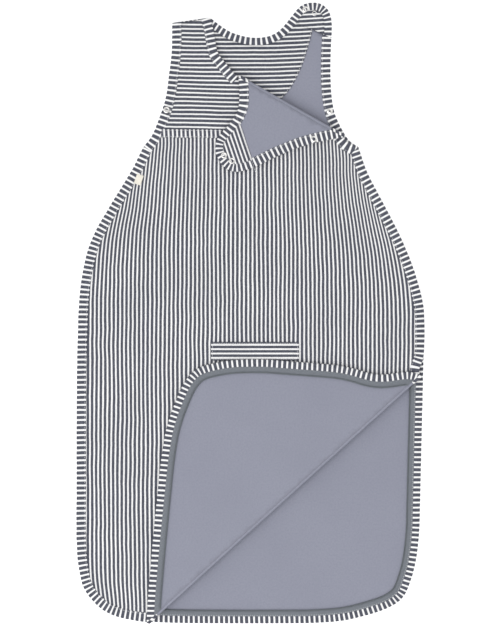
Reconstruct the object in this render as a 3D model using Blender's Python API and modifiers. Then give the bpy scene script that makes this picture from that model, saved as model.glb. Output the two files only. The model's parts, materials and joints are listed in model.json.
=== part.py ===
"""Baby sleeping bag laid flat on its back, with the front's lower corner and one shoulder strap folded open.

Two layers of jersey make the back and two make the front. Their raw edges sit in folded binding tape.
A zip joins front and back from the right underarm round to the foot. Frame: +Y to the neck, +X to the
right as seen from above, +Z up, origin on the floor under the middle. Metres.

Every piece that folds is built in its closed place and hangs from an empty on its fold line, and the
empty is turned half a turn, so the piece lies folded back on the front.
"""

import math

import bmesh
import bpy
import numpy as np
from mathutils import Matrix, Vector

# Overall size
BAG_LENGTH = 0.900
BAG_WIDTH = 0.504

# Cloth, binding and room between front and back
CLOTH = 0.0010
TAPE = 0.0008
BINDING_WIDTH = 0.0135
GAP = 0.0003
CAVITY = 0.0045
FOLD_MARGIN = 0.0015

# Zip
ZIP_TAPE = 0.0007
ZIP_TAPE_SHOWN = 0.0066
COIL_WIDTH = 0.0018
COIL_HEIGHT = 0.0014
SLIDER_LENGTH = 0.010
SLIDER_PLATE = 0.0008
SLIDER_ROOM = 0.0005
SLIDER_PLACE = 0.008
SLIDER_WEB = 0.0006
PULLER_LENGTH = 0.022
PULLER_THICKNESS = 0.0010
PULLER_HOLE = 0.0010
STOP_LENGTH = 0.003
STOP_ROOM = 0.002
TAPE_BEFORE_FOLD = 0.018

# Press studs
SNAP_RADIUS = 0.0046
SNAP_HOLE = 0.0024
SNAP_STUD = 0.0020
SNAP_BORE = 0.0013
SNAP_RISE = 0.0010
SNAP_SPACING = 0.014
SNAP_FROM_FOLD = 0.0130

# Harness slots and their cover
SLOT_WIDTH = 0.108
SLOT_HEIGHT = 0.014
SLOT_CENTRE = (0.0065, -0.0555)
SLOT_RIM = 0.009
COVER_MARGIN_X = 0.0095
COVER_MARGIN_Y = 0.0063
COVER_THICKNESS = 0.0007
COVER_PIVOT = 0.0005

# Label in the side seam
LABEL_SIZE = (0.010, 0.014)
LABEL_TURN = math.radians(-20)

SMALLEST_BEND_ERROR = 0.0005
LOOP_ERROR = 0.00001

# How far past its end a strip is built before it is cut, and how much of its end the cut acts on
BEYOND = 0.030
NEAR_END = 0.070

# The outline is drawn for a bag of this size and stretched to BAG_LENGTH and BAG_WIDTH.
DRAWN_LENGTH = 0.900
DRAWN_WIDTH = 0.504

LEFT_UNDERARM = (-0.155, 0.241)
RIGHT_UNDERARM = (0.156, 0.241)
LEFT_NECK = (-0.058, 0.428)
NECK_FOLD = (-0.0174, 0.3407)
ARMHOLE_FOLD = (0.1353, 0.2537)
LEFT_SHOULDER = (-0.1136, 0.420)

SKIRT = [
    LEFT_UNDERARM, (-0.172, 0.207), (-0.205, 0.153), (-0.232, 0.102), (-0.246, 0.040), (-0.2505, -0.040),
    (-0.252, -0.140), (-0.252, -0.240), (-0.252, -0.330), (-0.249, -0.369), (-0.241, -0.400),
    (-0.223, -0.423), (-0.202, -0.437), (-0.170, -0.445), (-0.138, -0.4483), (-0.060, -0.450),
    (0.060, -0.450), (0.092, -0.4495), (0.135, -0.446), (0.173, -0.437), (0.205, -0.425), (0.222, -0.411),
    (0.233, -0.386), (0.240, -0.358), (0.245, -0.313), (0.2455, -0.293), (0.2505, -0.087),
    (0.251, -0.067), (0.252, -0.020), (0.250, 0.012), (0.240, 0.052), (0.229, 0.083), (0.215, 0.115),
    (0.197, 0.150), (0.180, 0.182), (0.168, 0.206), RIGHT_UNDERARM,
]
BACK_CROWN = [
    RIGHT_UNDERARM, (0.143, 0.250), (0.131, 0.269), (0.122, 0.290), (0.118, 0.311), (0.116, 0.346),
    (0.1165, 0.381), (0.118, 0.417), (0.1165, 0.430), (0.111, 0.442), (0.101, 0.4485), (0.089, 0.450),
    (0.077, 0.4475), (0.070, 0.443), (0.061, 0.432), (0.050, 0.418), (0.040, 0.408), (0.026, 0.401),
    (0.008, 0.399), (-0.009, 0.401), (-0.030, 0.408), (-0.051, 0.422), LEFT_NECK,
]
FRONT_ARMHOLE = [RIGHT_UNDERARM, (0.147, 0.2435), (0.1385, 0.2495), ARMHOLE_FOLD]
STRAP_EDGE = [
    ARMHOLE_FOLD, (0.1322, 0.2604), (0.1256, 0.2774), (0.1155, 0.3121), (0.1096, 0.3493), (0.1052, 0.3921),
    (0.0972, 0.4153), (0.0849, 0.4242), (0.0642, 0.4259), (0.0511, 0.4204), (0.0426, 0.4117),
    (0.0383, 0.4006), (0.0349, 0.3893), (0.0304, 0.3791), (0.0258, 0.3702), (0.0190, 0.3622),
    (0.0103, 0.3556), (0.0009, 0.3501), (-0.0087, 0.3450), NECK_FOLD,
]
FRONT_NECK = [
    NECK_FOLD, (-0.028, 0.352), (-0.036, 0.362), (-0.047, 0.377), (-0.053, 0.407), LEFT_NECK,
]
LEFT_ARMHOLE = [
    LEFT_SHOULDER, (-0.114, 0.381), (-0.118, 0.346), (-0.123, 0.311), (-0.132, 0.283), (-0.144, 0.255),
    LEFT_UNDERARM,
]
SHOULDER = [LEFT_NECK, LEFT_SHOULDER]
NECK_FACING_EDGE = [
    (-0.092, 0.430), (-0.086, 0.395), (-0.075, 0.360), (-0.064, 0.336), (-0.050, 0.316), (-0.025, 0.299),
    (0.0, 0.293), (0.025, 0.299), (0.050, 0.316), (0.064, 0.336), (0.075, 0.360), (0.086, 0.395),
    (0.092, 0.418),
]
STRAP_FACING_EDGE = [(0.030, 0.3703), (0.0442, 0.3733), (0.0897, 0.3829), (0.120, 0.3893)]

CORNER_FOLD = [(-0.1353, -0.4341), (0.238, -0.0955)]
STRAP_FOLD = [NECK_FOLD, ARMHOLE_FOLD]
TAB_FOLD = [(0.0717, 0.4294), (0.0899, 0.4210)]
YOKE_SEAM = [(-0.160, 0.2608), (0.160, 0.2562)]
YOKE_BAND_WIDTH = 0.012

RIGHT_ARMHOLE_SNAP = (0.1149, 0.2925)
LEFT_ARMHOLE_SNAP = (-0.1215, 0.2937)
LABEL_PLACE = (-0.1620, 0.1930)

# Finishes: colour, roughness, metallic
STRIPED_JERSEY = ((0.36, 0.37, 0.42), 0.95, 0.0)
GREY_JERSEY = ((0.28, 0.29, 0.35), 0.95, 0.0)
STRIPED_BINDING = ((0.42, 0.43, 0.48), 0.95, 0.0)
ZIP_CLOTH = ((0.20, 0.23, 0.25), 0.9, 0.0)
NYLON = ((0.16, 0.18, 0.20), 0.5, 0.0)
ZINC = ((0.55, 0.56, 0.58), 0.35, 1.0)
SNAP_METAL = ((0.75, 0.75, 0.76), 0.3, 1.0)
CREAM_SATIN = ((0.80, 0.76, 0.68), 0.6, 0.0)


# Heights

EDGE_STACK = 2 * TAPE + 2 * CLOTH + 3 * GAP


def levels(base):
    """The (low, high) height of each layer in a bound edge that starts at base."""
    low_cloth = base + TAPE + GAP
    high_cloth = low_cloth + CLOTH + GAP
    high_tape = high_cloth + CLOTH + GAP
    return {
        "low_tape": (base, base + TAPE),
        "low_cloth": (low_cloth, low_cloth + CLOTH),
        "high_cloth": (high_cloth, high_cloth + CLOTH),
        "high_tape": (high_tape, high_tape + TAPE),
    }


BACK = levels(0.0)
FRONT_BASE = EDGE_STACK + CAVITY
FRONT = levels(FRONT_BASE)
TOP = 2 * EDGE_STACK + CAVITY
FOLD_HEIGHT = TOP + GAP / 2
TAB_FOLD_HEIGHT = (TOP + GAP + EDGE_STACK) / 2
CLOTH_INSET = TAPE + GAP
FACING_INSET = BINDING_WIDTH + GAP


# Plan geometry

def stretched(points):
    """Drawn points at the bag's own width and length."""
    scale = np.array([BAG_WIDTH / DRAWN_WIDTH, BAG_LENGTH / DRAWN_LENGTH])
    return np.array(points) * scale


def smooth(points, steps=14):
    """A centripetal Catmull-Rom curve through the points."""
    p = np.array(points)
    p = np.vstack([2 * p[0] - p[1], p, 2 * p[-1] - p[-2]])
    out = []
    for a, b, c, d in zip(p, p[1:], p[2:], p[3:]):
        t = np.cumsum([0.0] + [math.sqrt(np.linalg.norm(v)) for v in (b - a, c - b, d - c)])
        for s in np.linspace(t[1], t[2], steps, endpoint=False):
            ab = a + (b - a) * (s - t[0]) / (t[1] - t[0])
            bc = b + (c - b) * (s - t[1]) / (t[2] - t[1])
            cd = c + (d - c) * (s - t[2]) / (t[3] - t[2])
            abc = ab + (bc - ab) * (s - t[0]) / (t[2] - t[0])
            bcd = bc + (cd - bc) * (s - t[1]) / (t[3] - t[1])
            out.append(abc + (bcd - abc) * (s - t[1]) / (t[2] - t[1]))
    out.append(p[-2])
    return np.array(out)


def thinned(path, error=SMALLEST_BEND_ERROR):
    """The path without the points that lie within error of the line between their neighbours."""
    first, last = path[0], path[-1]
    if len(path) < 3:
        return path
    along = (last - first) / np.linalg.norm(last - first)
    rest = path[1:-1] - first
    away = np.abs(rest[:, 0] * along[1] - rest[:, 1] * along[0])
    far = int(np.argmax(away)) + 1
    if away[far - 1] < error:
        return np.array([first, last])
    return np.vstack([thinned(path[:far + 1], error)[:-1], thinned(path[far:], error)])


def curve(points):
    """A drawn outline as a thinned smooth path."""
    return thinned(smooth(stretched(points)))


def line(points):
    """A drawn straight line."""
    return stretched(points)


def inset(path, distance):
    """The path moved to its left, each stretch parallel to the old one."""
    way = np.diff(path, axis=0)
    way = way / np.linalg.norm(way, axis=1)[:, None]
    left = np.column_stack([-way[:, 1], way[:, 0]])
    before = np.vstack([left[:1], left])
    after = np.vstack([left, left[-1:]])
    share = 1 + (before * after).sum(1)
    return path + (before + after) / share[:, None] * distance


def unlooped(moved, path, distance):
    """The inset path without the points that crossed over each other inside a tight bend."""
    start, way = path[:-1], np.diff(path, axis=0)
    rest = moved[:, None] - start[None]
    share = np.clip((rest * way).sum(2) / (way * way).sum(1), 0, 1)
    away = np.linalg.norm(rest - share[:, :, None] * way, axis=2).min(axis=1)
    return moved[away > abs(distance) - LOOP_ERROR]


def lengths(path):
    """Distance along the path at each point."""
    return np.concatenate([[0.0], np.cumsum(np.linalg.norm(np.diff(path, axis=0), axis=1))])


def portion(path, start, end):
    """The stretch of the path between two distances along it."""
    along = lengths(path)
    inner = path[(along > start + 1e-4) & (along < end - 1e-4)]
    ends = [[np.interp(s, along, path[:, k]) for k in range(2)] for s in (start, end)]
    return np.vstack([ends[:1], inner, ends[1:]])


def prolonged(path, distance):
    """The path with a straight run of this length added at both ends."""
    return lengthened(lengthened(path, distance)[::-1], distance)[::-1]


def lengthened(path, distance):
    """The path with a straight run of this length added at its end."""
    way = path[-1] - path[-2]
    return np.vstack([path, path[-1] + way / np.linalg.norm(way) * distance])


def side_of(points, fold):
    """Signed distance of points from a fold line, positive to its left."""
    along = (fold[1] - fold[0]) / np.linalg.norm(fold[1] - fold[0])
    rest = np.atleast_2d(points) - fold[0]
    return along[0] * rest[:, 1] - along[1] * rest[:, 0]


def crossings(path, fold):
    """Distances along the path where it crosses the fold line."""
    side = side_of(path, fold)
    along = lengths(path)
    return [
        along[i] + (along[i + 1] - along[i]) * side[i] / (side[i] - side[i + 1])
        for i in range(len(path) - 1)
        if side[i] * side[i + 1] < 0
    ]


def split(path, fold):
    """The path cut where it crosses the fold line."""
    marks = [0.0, *crossings(path, fold), lengths(path)[-1]]
    return [portion(path, a, b) for a, b in zip(marks, marks[1:])]


def meeting(first, second):
    """The two paths trimmed or prolonged to where they meet, nearest to the end of the first."""
    a = prolonged(first, 0.03)
    b = prolonged(second, 0.03)
    for i in range(len(a) - 1, 0, -1):
        for j in range(len(b) - 1):
            p, r = a[i - 1], a[i] - a[i - 1]
            q, s = b[j], b[j + 1] - b[j]
            cross = r[0] * s[1] - r[1] * s[0]
            if abs(cross) < 1e-3 * np.linalg.norm(r) * np.linalg.norm(s):
                continue
            t = ((q - p)[0] * s[1] - (q - p)[1] * s[0]) / cross
            u = ((q - p)[0] * r[1] - (q - p)[1] * r[0]) / cross
            if 0 <= t <= 1 and 0 <= u <= 1:
                point = p + t * r
                return np.vstack([a[1:i], point]), np.vstack([point, b[j + 1:-1]])
    middle = (first[-1] + second[0]) / 2
    return np.vstack([first[:-1], middle]), np.vstack([middle, second[1:]])


def ring(*sides):
    """A closed outline from (path, inset) sides in order, with the cloth to the left of each."""
    paths = [unlooped(inset(path, distance), path, distance) for path, distance in sides]
    for i in range(len(paths)):
        j = (i + 1) % len(paths)
        paths[i], paths[j] = meeting(paths[i], paths[j])
    return np.vstack([path[:-1] for path in paths])


def slot_outline(centre, width, height):
    """A rounded rectangle with nearly round ends."""
    radius = height / 2 - GAP
    points = []
    for corner, (sx, sy) in enumerate([(1, 1), (-1, 1), (-1, -1), (1, -1)]):
        for turn in (0, 30, 60, 90):
            angle = math.radians(90 * corner + turn)
            points.append((
                centre[0] + sx * (width / 2 - radius) + radius * math.cos(angle),
                centre[1] + sy * (height / 2 - radius) + radius * math.sin(angle),
            ))
    return np.array(points)


# Scene, bodies and finishes

for old in list(bpy.data.objects):
    bpy.data.objects.remove(old, do_unlink=True)

PARTS = bpy.data.collections.new("baby_sleeping_bag")
CUTTERS = bpy.data.collections.new("cutters")
for collection in (PARTS, CUTTERS):
    bpy.context.scene.collection.children.link(collection)


def hinge_empty(name, fold, height, folded):
    """An empty on a fold line, its X along the line. Returns it with its place while the piece is closed."""
    along = (fold[1] - fold[0]) / np.linalg.norm(fold[1] - fold[0])
    middle = fold.mean(axis=0)
    closed = Matrix.Translation((middle[0], middle[1], height))
    closed = closed @ Matrix.Rotation(math.atan2(along[1], along[0]), 4, "Z")
    empty = bpy.data.objects.new(name, None)
    empty.empty_display_size = 0.02
    PARTS.objects.link(empty)
    empty.matrix_world = closed @ Matrix.Rotation(math.pi, 4, "X") if folded else closed
    return empty, closed.inverted()


def paint(obj, finish):
    """A material of the object's own."""
    colour, roughness, metallic = finish
    material = bpy.data.materials.new(obj.name)
    material.use_nodes = True
    shader = material.node_tree.nodes["Principled BSDF"]
    shader.inputs["Base Color"].default_value = (*colour, 1)
    shader.inputs["Roughness"].default_value = roughness
    shader.inputs["Metallic"].default_value = metallic
    obj.data.materials.append(material)


def place(obj, body, finish):
    """Links a piece, hangs it from its body's empty and paints it."""
    PARTS.objects.link(obj)
    if body is not None:
        obj.parent, obj.matrix_parent_inverse = body
    paint(obj, finish)
    return obj


def cut_by(obj, cutters):
    """Boolean differences, one for each cutter."""
    for cutter in cutters:
        hole = obj.modifiers.new(cutter.name, "BOOLEAN")
        hole.operation = "DIFFERENCE"
        hole.solver = "EXACT"
        hole.object = cutter


# Builders

def sheet(name, outline, level, finish, body=None, holes=(), cutters=()):
    """A flat piece of cloth with this outline between two heights."""
    data = bpy.data.curves.new(name, "CURVE")
    data.dimensions = "2D"
    data.fill_mode = "BOTH"
    data.extrude = (level[1] - level[0]) / 2
    for loop in (outline, *holes):
        spline = data.splines.new("POLY")
        spline.points.add(len(loop) - 1)
        for point, (x, y) in zip(spline.points, loop):
            point.co = (x, y, 0, 1)
        spline.use_cyclic_u = True
    obj = bpy.data.objects.new(name, data)
    obj.location.z = (level[0] + level[1]) / 2
    if cutters:
        obj = as_mesh(obj)
        cut_by(obj, cutters)
    return place(obj, body, finish)


def as_mesh(obj):
    """The curve object made a welded mesh object of the same name and place."""
    bpy.context.scene.collection.objects.link(obj)
    depsgraph = bpy.context.evaluated_depsgraph_get()
    data = bpy.data.meshes.new_from_object(obj.evaluated_get(depsgraph))
    work = bmesh.new()
    work.from_mesh(data)
    bmesh.ops.remove_doubles(work, verts=work.verts, dist=1e-6)
    work.to_mesh(data)
    work.free()
    name, place_z = obj.name, obj.location.z
    bpy.data.objects.remove(obj, do_unlink=True)
    made = bpy.data.objects.new(name, data)
    made.location.z = place_z
    return made


def strip(name, path, profile, finish, body=None, cuts=(), cutters=()):
    """A ribbon with this closed (inset, height) profile all along the path.

    A cut is (line, side kept, where, margin): 1 keeps what is left of the line and -1 what is right of it.
    Where is "all", or "start" or "end" for the stretches near one end.
    """
    lanes = [inset(path, distance) for distance, _ in profile]
    sides = len(profile)
    work = bmesh.new()
    bmesh.ops.create_grid(work, x_segments=sides, y_segments=len(path) - 1, size=0.5)
    work.verts.ensure_lookup_table()
    for index, vert in enumerate(work.verts):
        station, rail = divmod(index, sides + 1)
        vert.co = (*lanes[rail % sides][station], profile[rail % sides][1])
    stretch = work.faces.layers.int.new("stretch")
    for index, face in enumerate(work.faces):
        face[stretch] = index // sides
    bmesh.ops.remove_doubles(work, verts=work.verts, dist=1e-6)
    along_path = lengths(path)
    for fold, kept, where, margin in cuts:
        first = along_path[-1] - NEAR_END if where == "end" else 0
        last = NEAR_END if where == "start" else along_path[-1]
        wanted = [i for i in range(len(path) - 1) if along_path[i + 1] > first and along_path[i] < last]
        faces = [face for face in work.faces if face[stretch] in wanted]
        edges = dict.fromkeys(edge for face in faces for edge in face.edges)
        verts = dict.fromkeys(vert for face in faces for vert in face.verts)
        along = (fold[1] - fold[0]) / np.linalg.norm(fold[1] - fold[0])
        away = Vector((along[1], -along[0], 0)) * kept
        point = Vector((*fold[0], 0)) - away * margin
        bmesh.ops.bisect_plane(
            work, geom=[*verts, *edges, *faces], plane_co=point, plane_no=away, dist=1e-6, clear_outer=True,
        )
    bmesh.ops.holes_fill(work, edges=work.edges, sides=0)
    bmesh.ops.recalc_face_normals(work, faces=work.faces)
    data = bpy.data.meshes.new(name)
    work.to_mesh(data)
    work.free()
    obj = bpy.data.objects.new(name, data)
    cut_by(obj, cutters)
    return place(obj, body, finish)


def binding(name, path, low, high, **rest):
    """Tape folded round the raw edges that lie between two heights."""
    profile = [
        (0, low), (BINDING_WIDTH, low), (BINDING_WIDTH, low + TAPE), (TAPE, low + TAPE), (TAPE, high - TAPE),
        (BINDING_WIDTH, high - TAPE), (BINDING_WIDTH, high), (0, high),
    ]
    return strip(name, path, profile, STRIPED_BINDING, **rest)


def flat_strip(name, path, near, far, low, high, finish, **rest):
    """A flat ribbon between two insets and two heights."""
    return strip(name, path, [(near, low), (far, low), (far, high), (near, high)], finish, **rest)


def turned(name, centre, profile, finish, body=None):
    """A piece turned about a vertical axis from a closed (radius, height) profile."""
    data = bpy.data.meshes.new(name)
    work = bmesh.new()
    verts = [work.verts.new((radius, 0, height)) for radius, height in profile]
    for a, b in zip(verts, verts[1:] + verts[:1]):
        work.edges.new((a, b))
    work.to_mesh(data)
    work.free()
    obj = bpy.data.objects.new(name, data)
    obj.location = (*centre, 0)
    screw = obj.modifiers.new("turn", "SCREW")
    screw.steps = 16
    screw.render_steps = 16
    screw.use_merge_vertices = True
    screw.merge_threshold = 0.00001
    screw.use_smooth_shade = True
    return place(obj, body, finish)


def snap_ring(name, centre, level, body=None):
    """The plain ring of a press stud, or its socket: both are open in the middle."""
    low, high = level
    profile = [(SNAP_RADIUS, high), (SNAP_RADIUS, low), (SNAP_HOLE, low), (SNAP_HOLE, high)]
    return turned(name, centre, profile, SNAP_METAL, body)


def snap_stud(name, centre, level, body=None):
    """The stud half: a flange with a collar that enters the socket above it."""
    low, high = level
    rise = high + SNAP_RISE
    profile = [
        (SNAP_RADIUS, high), (SNAP_RADIUS, low), (SNAP_BORE, low), (SNAP_BORE, rise), (SNAP_STUD, rise),
        (SNAP_STUD, high),
    ]
    return turned(name, centre, profile, SNAP_METAL, body)


def snap_cutter(name, centre, body=None):
    """Room for a press stud through the tape round it."""
    data = bpy.data.meshes.new(name)
    work = bmesh.new()
    depth = 2 * TOP
    bmesh.ops.create_cone(
        work, cap_ends=True, segments=24, radius1=SNAP_RADIUS + 1.5 * GAP, radius2=SNAP_RADIUS + 1.5 * GAP,
        depth=depth,
    )
    work.to_mesh(data)
    work.free()
    obj = bpy.data.objects.new(name, data)
    obj.location = (*centre, 0)
    obj.hide_render = True
    obj.display_type = "WIRE"
    CUTTERS.objects.link(obj)
    if body is not None:
        obj.parent, obj.matrix_parent_inverse = body
    return obj


def block(name, size, centre, turn, finish, body=None):
    """A box of this size, turned about the vertical."""
    data = bpy.data.meshes.new(name)
    work = bmesh.new()
    bmesh.ops.create_cube(work, size=1)
    bmesh.ops.scale(work, vec=size, verts=work.verts)
    work.to_mesh(data)
    work.free()
    obj = bpy.data.objects.new(name, data)
    obj.location = centre
    obj.rotation_euler.z = turn
    edge = obj.modifiers.new("edge", "BEVEL")
    edge.width = min(size) / 6
    edge.segments = 1
    return place(obj, body, finish)


def upright(name, section, length, foot, across, finish, body=None, holes=()):
    """An extruded outline that stands on edge: its points are (distance along across, height)."""
    obj = sheet(name, section, (-length / 2, length / 2), finish, body, holes)
    depth = (across[1], -across[0])
    obj.location = (*foot, 0)
    obj.rotation_euler = Matrix((
        (across[0], 0, depth[0]),
        (across[1], 0, depth[1]),
        (0, 1, 0),
    )).to_euler()
    return obj


# Edges and fold lines

skirt = curve(SKIRT)
back_crown = curve(BACK_CROWN)
left_armhole = curve(LEFT_ARMHOLE)
shoulder = line(SHOULDER)
corner_fold = line(CORNER_FOLD)
strap_fold = line(STRAP_FOLD)
tab_fold = line(TAB_FOLD)
yoke_seam = line(YOKE_SEAM)

left_side, corner_edge, right_side = split(skirt, corner_fold)
back_armhole, tab_edge, back_neck = split(back_crown, tab_fold)
front_armhole, strap_edge, front_neck = curve(FRONT_ARMHOLE), curve(STRAP_EDGE), curve(FRONT_NECK)
armhole_above, armhole_below = split(left_armhole, yoke_seam)

corner_empty = hinge_empty("corner_flap_hinge", corner_fold, FOLD_HEIGHT, folded=True)
strap_empty = hinge_empty("shoulder_strap_hinge", strap_fold, FOLD_HEIGHT, folded=True)
tab_empty = hinge_empty("back_tab_hinge", tab_fold, TAB_FOLD_HEIGHT, folded=False)

fold_across_corner = np.array([corner_edge[-1], corner_edge[0]])
fold_across_front = fold_across_corner[::-1]
fold_across_strap = np.array([strap_edge[-1], strap_edge[0]])
fold_across_yoke = fold_across_strap[::-1]
fold_across_tab = np.array([tab_edge[-1], tab_edge[0]])
fold_across_back = fold_across_tab[::-1]


def mitre(first, second):
    """The line across the cloth that halves the corner where first ends and second starts."""
    a = first[-1] - first[-2]
    b = second[1] - second[0]
    way = a / np.linalg.norm(a) + b / np.linalg.norm(b)
    return np.array([first[-1], first[-1] + np.array([-way[1], way[0]])])


left_underarm_line = mitre(left_armhole, skirt)
back_underarm_line = mitre(skirt, back_crown)
front_underarm_line = mitre(skirt, front_armhole)


def station(path, distance):
    """The point this far along the path, the way the path runs there and the way to its left."""
    along = lengths(path)
    i = int(np.clip(np.searchsorted(along, distance) - 1, 0, len(path) - 2))
    way = (path[i + 1] - path[i]) / (along[i + 1] - along[i])
    return path[i] + way * (distance - along[i]), way, np.array([-way[1], way[0]])


def snap_pair(from_fold):
    """Centres of the two shoulder press studs at this distance past the tab's fold line."""
    along = (tab_fold[1] - tab_fold[0]) / np.linalg.norm(tab_fold[1] - tab_fold[0])
    middle = tab_fold.mean(axis=0) + np.array([-along[1], along[0]]) * from_fold
    return [middle - along * SNAP_SPACING / 2, middle + along * SNAP_SPACING / 2]


# Back

back_sides = [
    (back_armhole, CLOTH_INSET), (fold_across_back, FOLD_MARGIN), (back_neck, CLOTH_INSET),
    (shoulder, CLOTH_INSET), (left_armhole, CLOTH_INSET), (skirt, CLOTH_INSET),
]
slot_centre = stretched([SLOT_CENTRE])[0]
slot = slot_outline(slot_centre, SLOT_WIDTH, SLOT_HEIGHT)
slot_rim = slot_outline(slot_centre, SLOT_WIDTH + 2 * SLOT_RIM, SLOT_HEIGHT + 2 * SLOT_RIM)
sheet("back_panel", ring(*back_sides), BACK["low_cloth"], STRIPED_JERSEY, holes=[slot])
sheet("back_lining", ring(*back_sides), BACK["high_cloth"], GREY_JERSEY, holes=[slot])
sheet("back_slot_facing", slot_rim, BACK["low_tape"], STRIPED_JERSEY, holes=[slot])

neck_facing = ring(
    (curve(NECK_FACING_EDGE), 0), (fold_across_back, FOLD_MARGIN), (back_neck, FACING_INSET),
    (shoulder, FACING_INSET - BINDING_WIDTH + TAPE + GAP),
)
sheet("back_neck_facing", neck_facing, BACK["high_tape"], STRIPED_JERSEY)

right_snap = stretched([RIGHT_ARMHOLE_SNAP])[0]
left_snap = stretched([LEFT_ARMHOLE_SNAP])[0]
back_right_hole = snap_cutter("back_right_snap_room", right_snap)
left_hole = snap_cutter("left_snap_room", left_snap)

full = lengths(skirt)[-1]
foot_mark, side_mark = crossings(skirt, corner_fold)

binding(
    "back_hem_binding", lengthened(portion(skirt, foot_mark - BEYOND, full), BEYOND), 0, EDGE_STACK,
    cuts=[(corner_fold, -1, "start", FOLD_MARGIN), (back_underarm_line, 1, "end", GAP)],
)
binding(
    "back_right_armhole_binding", prolonged(back_armhole, BEYOND), 0, EDGE_STACK,
    cuts=[(back_underarm_line, -1, "start", GAP), (tab_fold, -1, "end", FOLD_MARGIN)],
    cutters=[back_right_hole],
)
binding(
    "back_neck_binding", prolonged(back_neck, BEYOND), 0, EDGE_STACK,
    cuts=[(tab_fold, -1, "start", FOLD_MARGIN), (shoulder, 1, "end", FOLD_MARGIN)],
)
binding(
    "back_left_armhole_binding", prolonged(left_armhole, BEYOND), 0, EDGE_STACK,
    cuts=[(shoulder, 1, "start", FOLD_MARGIN), (left_underarm_line, 1, "end", GAP)], cutters=[left_hole],
)
binding(
    "side_seam_binding", prolonged(portion(skirt, 0, foot_mark + BEYOND), BEYOND), 0, TOP,
    cuts=[(left_underarm_line, -1, "start", GAP), (corner_fold, 1, "all", FOLD_MARGIN)],
)
flat_strip("shoulder_seam_tape", shoulder, 0, TAPE, 0, TOP, STRIPED_BINDING)


# Front

front_panel = ring(
    (yoke_seam[::-1], GAP / 2), (armhole_below, CLOTH_INSET), (left_side, CLOTH_INSET),
    (fold_across_front, FOLD_MARGIN), (right_side, CLOTH_INSET), (front_armhole, CLOTH_INSET),
    (fold_across_yoke, FOLD_MARGIN),
)
sheet("front_panel", front_panel, FRONT["high_cloth"], STRIPED_JERSEY, holes=[slot])
front_yoke = ring(
    (yoke_seam, GAP / 2), (fold_across_yoke, FOLD_MARGIN), (front_neck, CLOTH_INSET), (shoulder, CLOTH_INSET),
    (armhole_above, CLOTH_INSET),
)
sheet("front_yoke", front_yoke, FRONT["high_cloth"], STRIPED_JERSEY)
front_lining = ring(
    (front_neck, CLOTH_INSET), (shoulder, CLOTH_INSET), (left_armhole, CLOTH_INSET), (left_side, CLOTH_INSET),
    (fold_across_front, FOLD_MARGIN), (right_side, CLOTH_INSET), (front_armhole, CLOTH_INSET),
    (fold_across_yoke, FOLD_MARGIN),
)
sheet("front_lining", front_lining, FRONT["low_cloth"], GREY_JERSEY, holes=[slot])

band_inset = inset(left_armhole, FACING_INSET + GAP)
band_start = np.interp(-yoke_seam[0][1], -band_inset[:, 1], band_inset[:, 0]) - yoke_seam[0][0]
band_path = portion(yoke_seam, band_start + YOKE_BAND_WIDTH / 4, lengths(yoke_seam)[-1])
band_base = FRONT["high_tape"][0]
armhole_inner_edge = inset(front_armhole, FACING_INSET)[-2:]
flat_strip(
    "yoke_seam_band", band_path, -YOKE_BAND_WIDTH / 2, YOKE_BAND_WIDTH / 2, band_base, band_base + ZIP_TAPE,
    STRIPED_BINDING, cuts=[(strap_fold, -1, "all", FOLD_MARGIN), (armhole_inner_edge, 1, "end", 0)],
)
binding(
    "front_side_binding", lengthened(portion(skirt, side_mark - BEYOND, full), BEYOND), FRONT_BASE, TOP,
    cuts=[(corner_fold, 1, "all", FOLD_MARGIN), (front_underarm_line, 1, "end", GAP)],
)
binding(
    "front_right_armhole_binding", prolonged(front_armhole, BEYOND), FRONT_BASE, TOP,
    cuts=[(front_underarm_line, -1, "start", GAP), (strap_fold, -1, "end", FOLD_MARGIN)],
)
binding(
    "front_neck_binding", lengthened(front_neck, BEYOND), FRONT_BASE, TOP,
    cuts=[(shoulder, 1, "end", FOLD_MARGIN)],
)
binding(
    "front_left_armhole_binding", prolonged(left_armhole, BEYOND), FRONT_BASE, TOP,
    cuts=[(shoulder, 1, "start", FOLD_MARGIN), (left_underarm_line, 1, "end", GAP)], cutters=[left_hole],
)
cover_centre = (slot_centre[0], slot_centre[1], FRONT["high_tape"][0] + COVER_THICKNESS / 2)
cover_half_width = SLOT_WIDTH / 2 + COVER_MARGIN_X
cover_half_height = SLOT_HEIGHT / 2 + COVER_MARGIN_Y
cover_top = slot_centre[1] + cover_half_height + COVER_PIVOT
cover_left, cover_right = slot_centre[0] - cover_half_width, slot_centre[0] + cover_half_width
cover_fold = np.array([[cover_left, cover_top], [cover_right, cover_top]])
cover_empty = hinge_empty("slot_cover_hinge", cover_fold, TOP, folded=False)
block(
    "slot_cover", (2 * cover_half_width, 2 * cover_half_height, COVER_THICKNESS), cover_centre, 0,
    STRIPED_JERSEY, cover_empty,
)
label_centre = (*stretched([LABEL_PLACE])[0], TOP + GAP + TAPE / 2)
block("side_label", (*LABEL_SIZE, TAPE), label_centre, LABEL_TURN, CREAM_SATIN)


# Corner of the front, folded open

corner_sides = [(corner_edge, CLOTH_INSET), (fold_across_corner, FOLD_MARGIN)]
sheet("corner_panel", ring(*corner_sides), FRONT["high_cloth"], STRIPED_JERSEY, corner_empty)
sheet("corner_lining", ring(*corner_sides), FRONT["low_cloth"], GREY_JERSEY, corner_empty)
corner_path = portion(skirt, foot_mark - BEYOND, side_mark + BEYOND)
corner_cut = [(corner_fold, -1, "all", FOLD_MARGIN)]
binding("corner_binding", corner_path, FRONT_BASE, TOP, body=corner_empty, cuts=corner_cut)


# Shoulder strap, folded open

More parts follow.
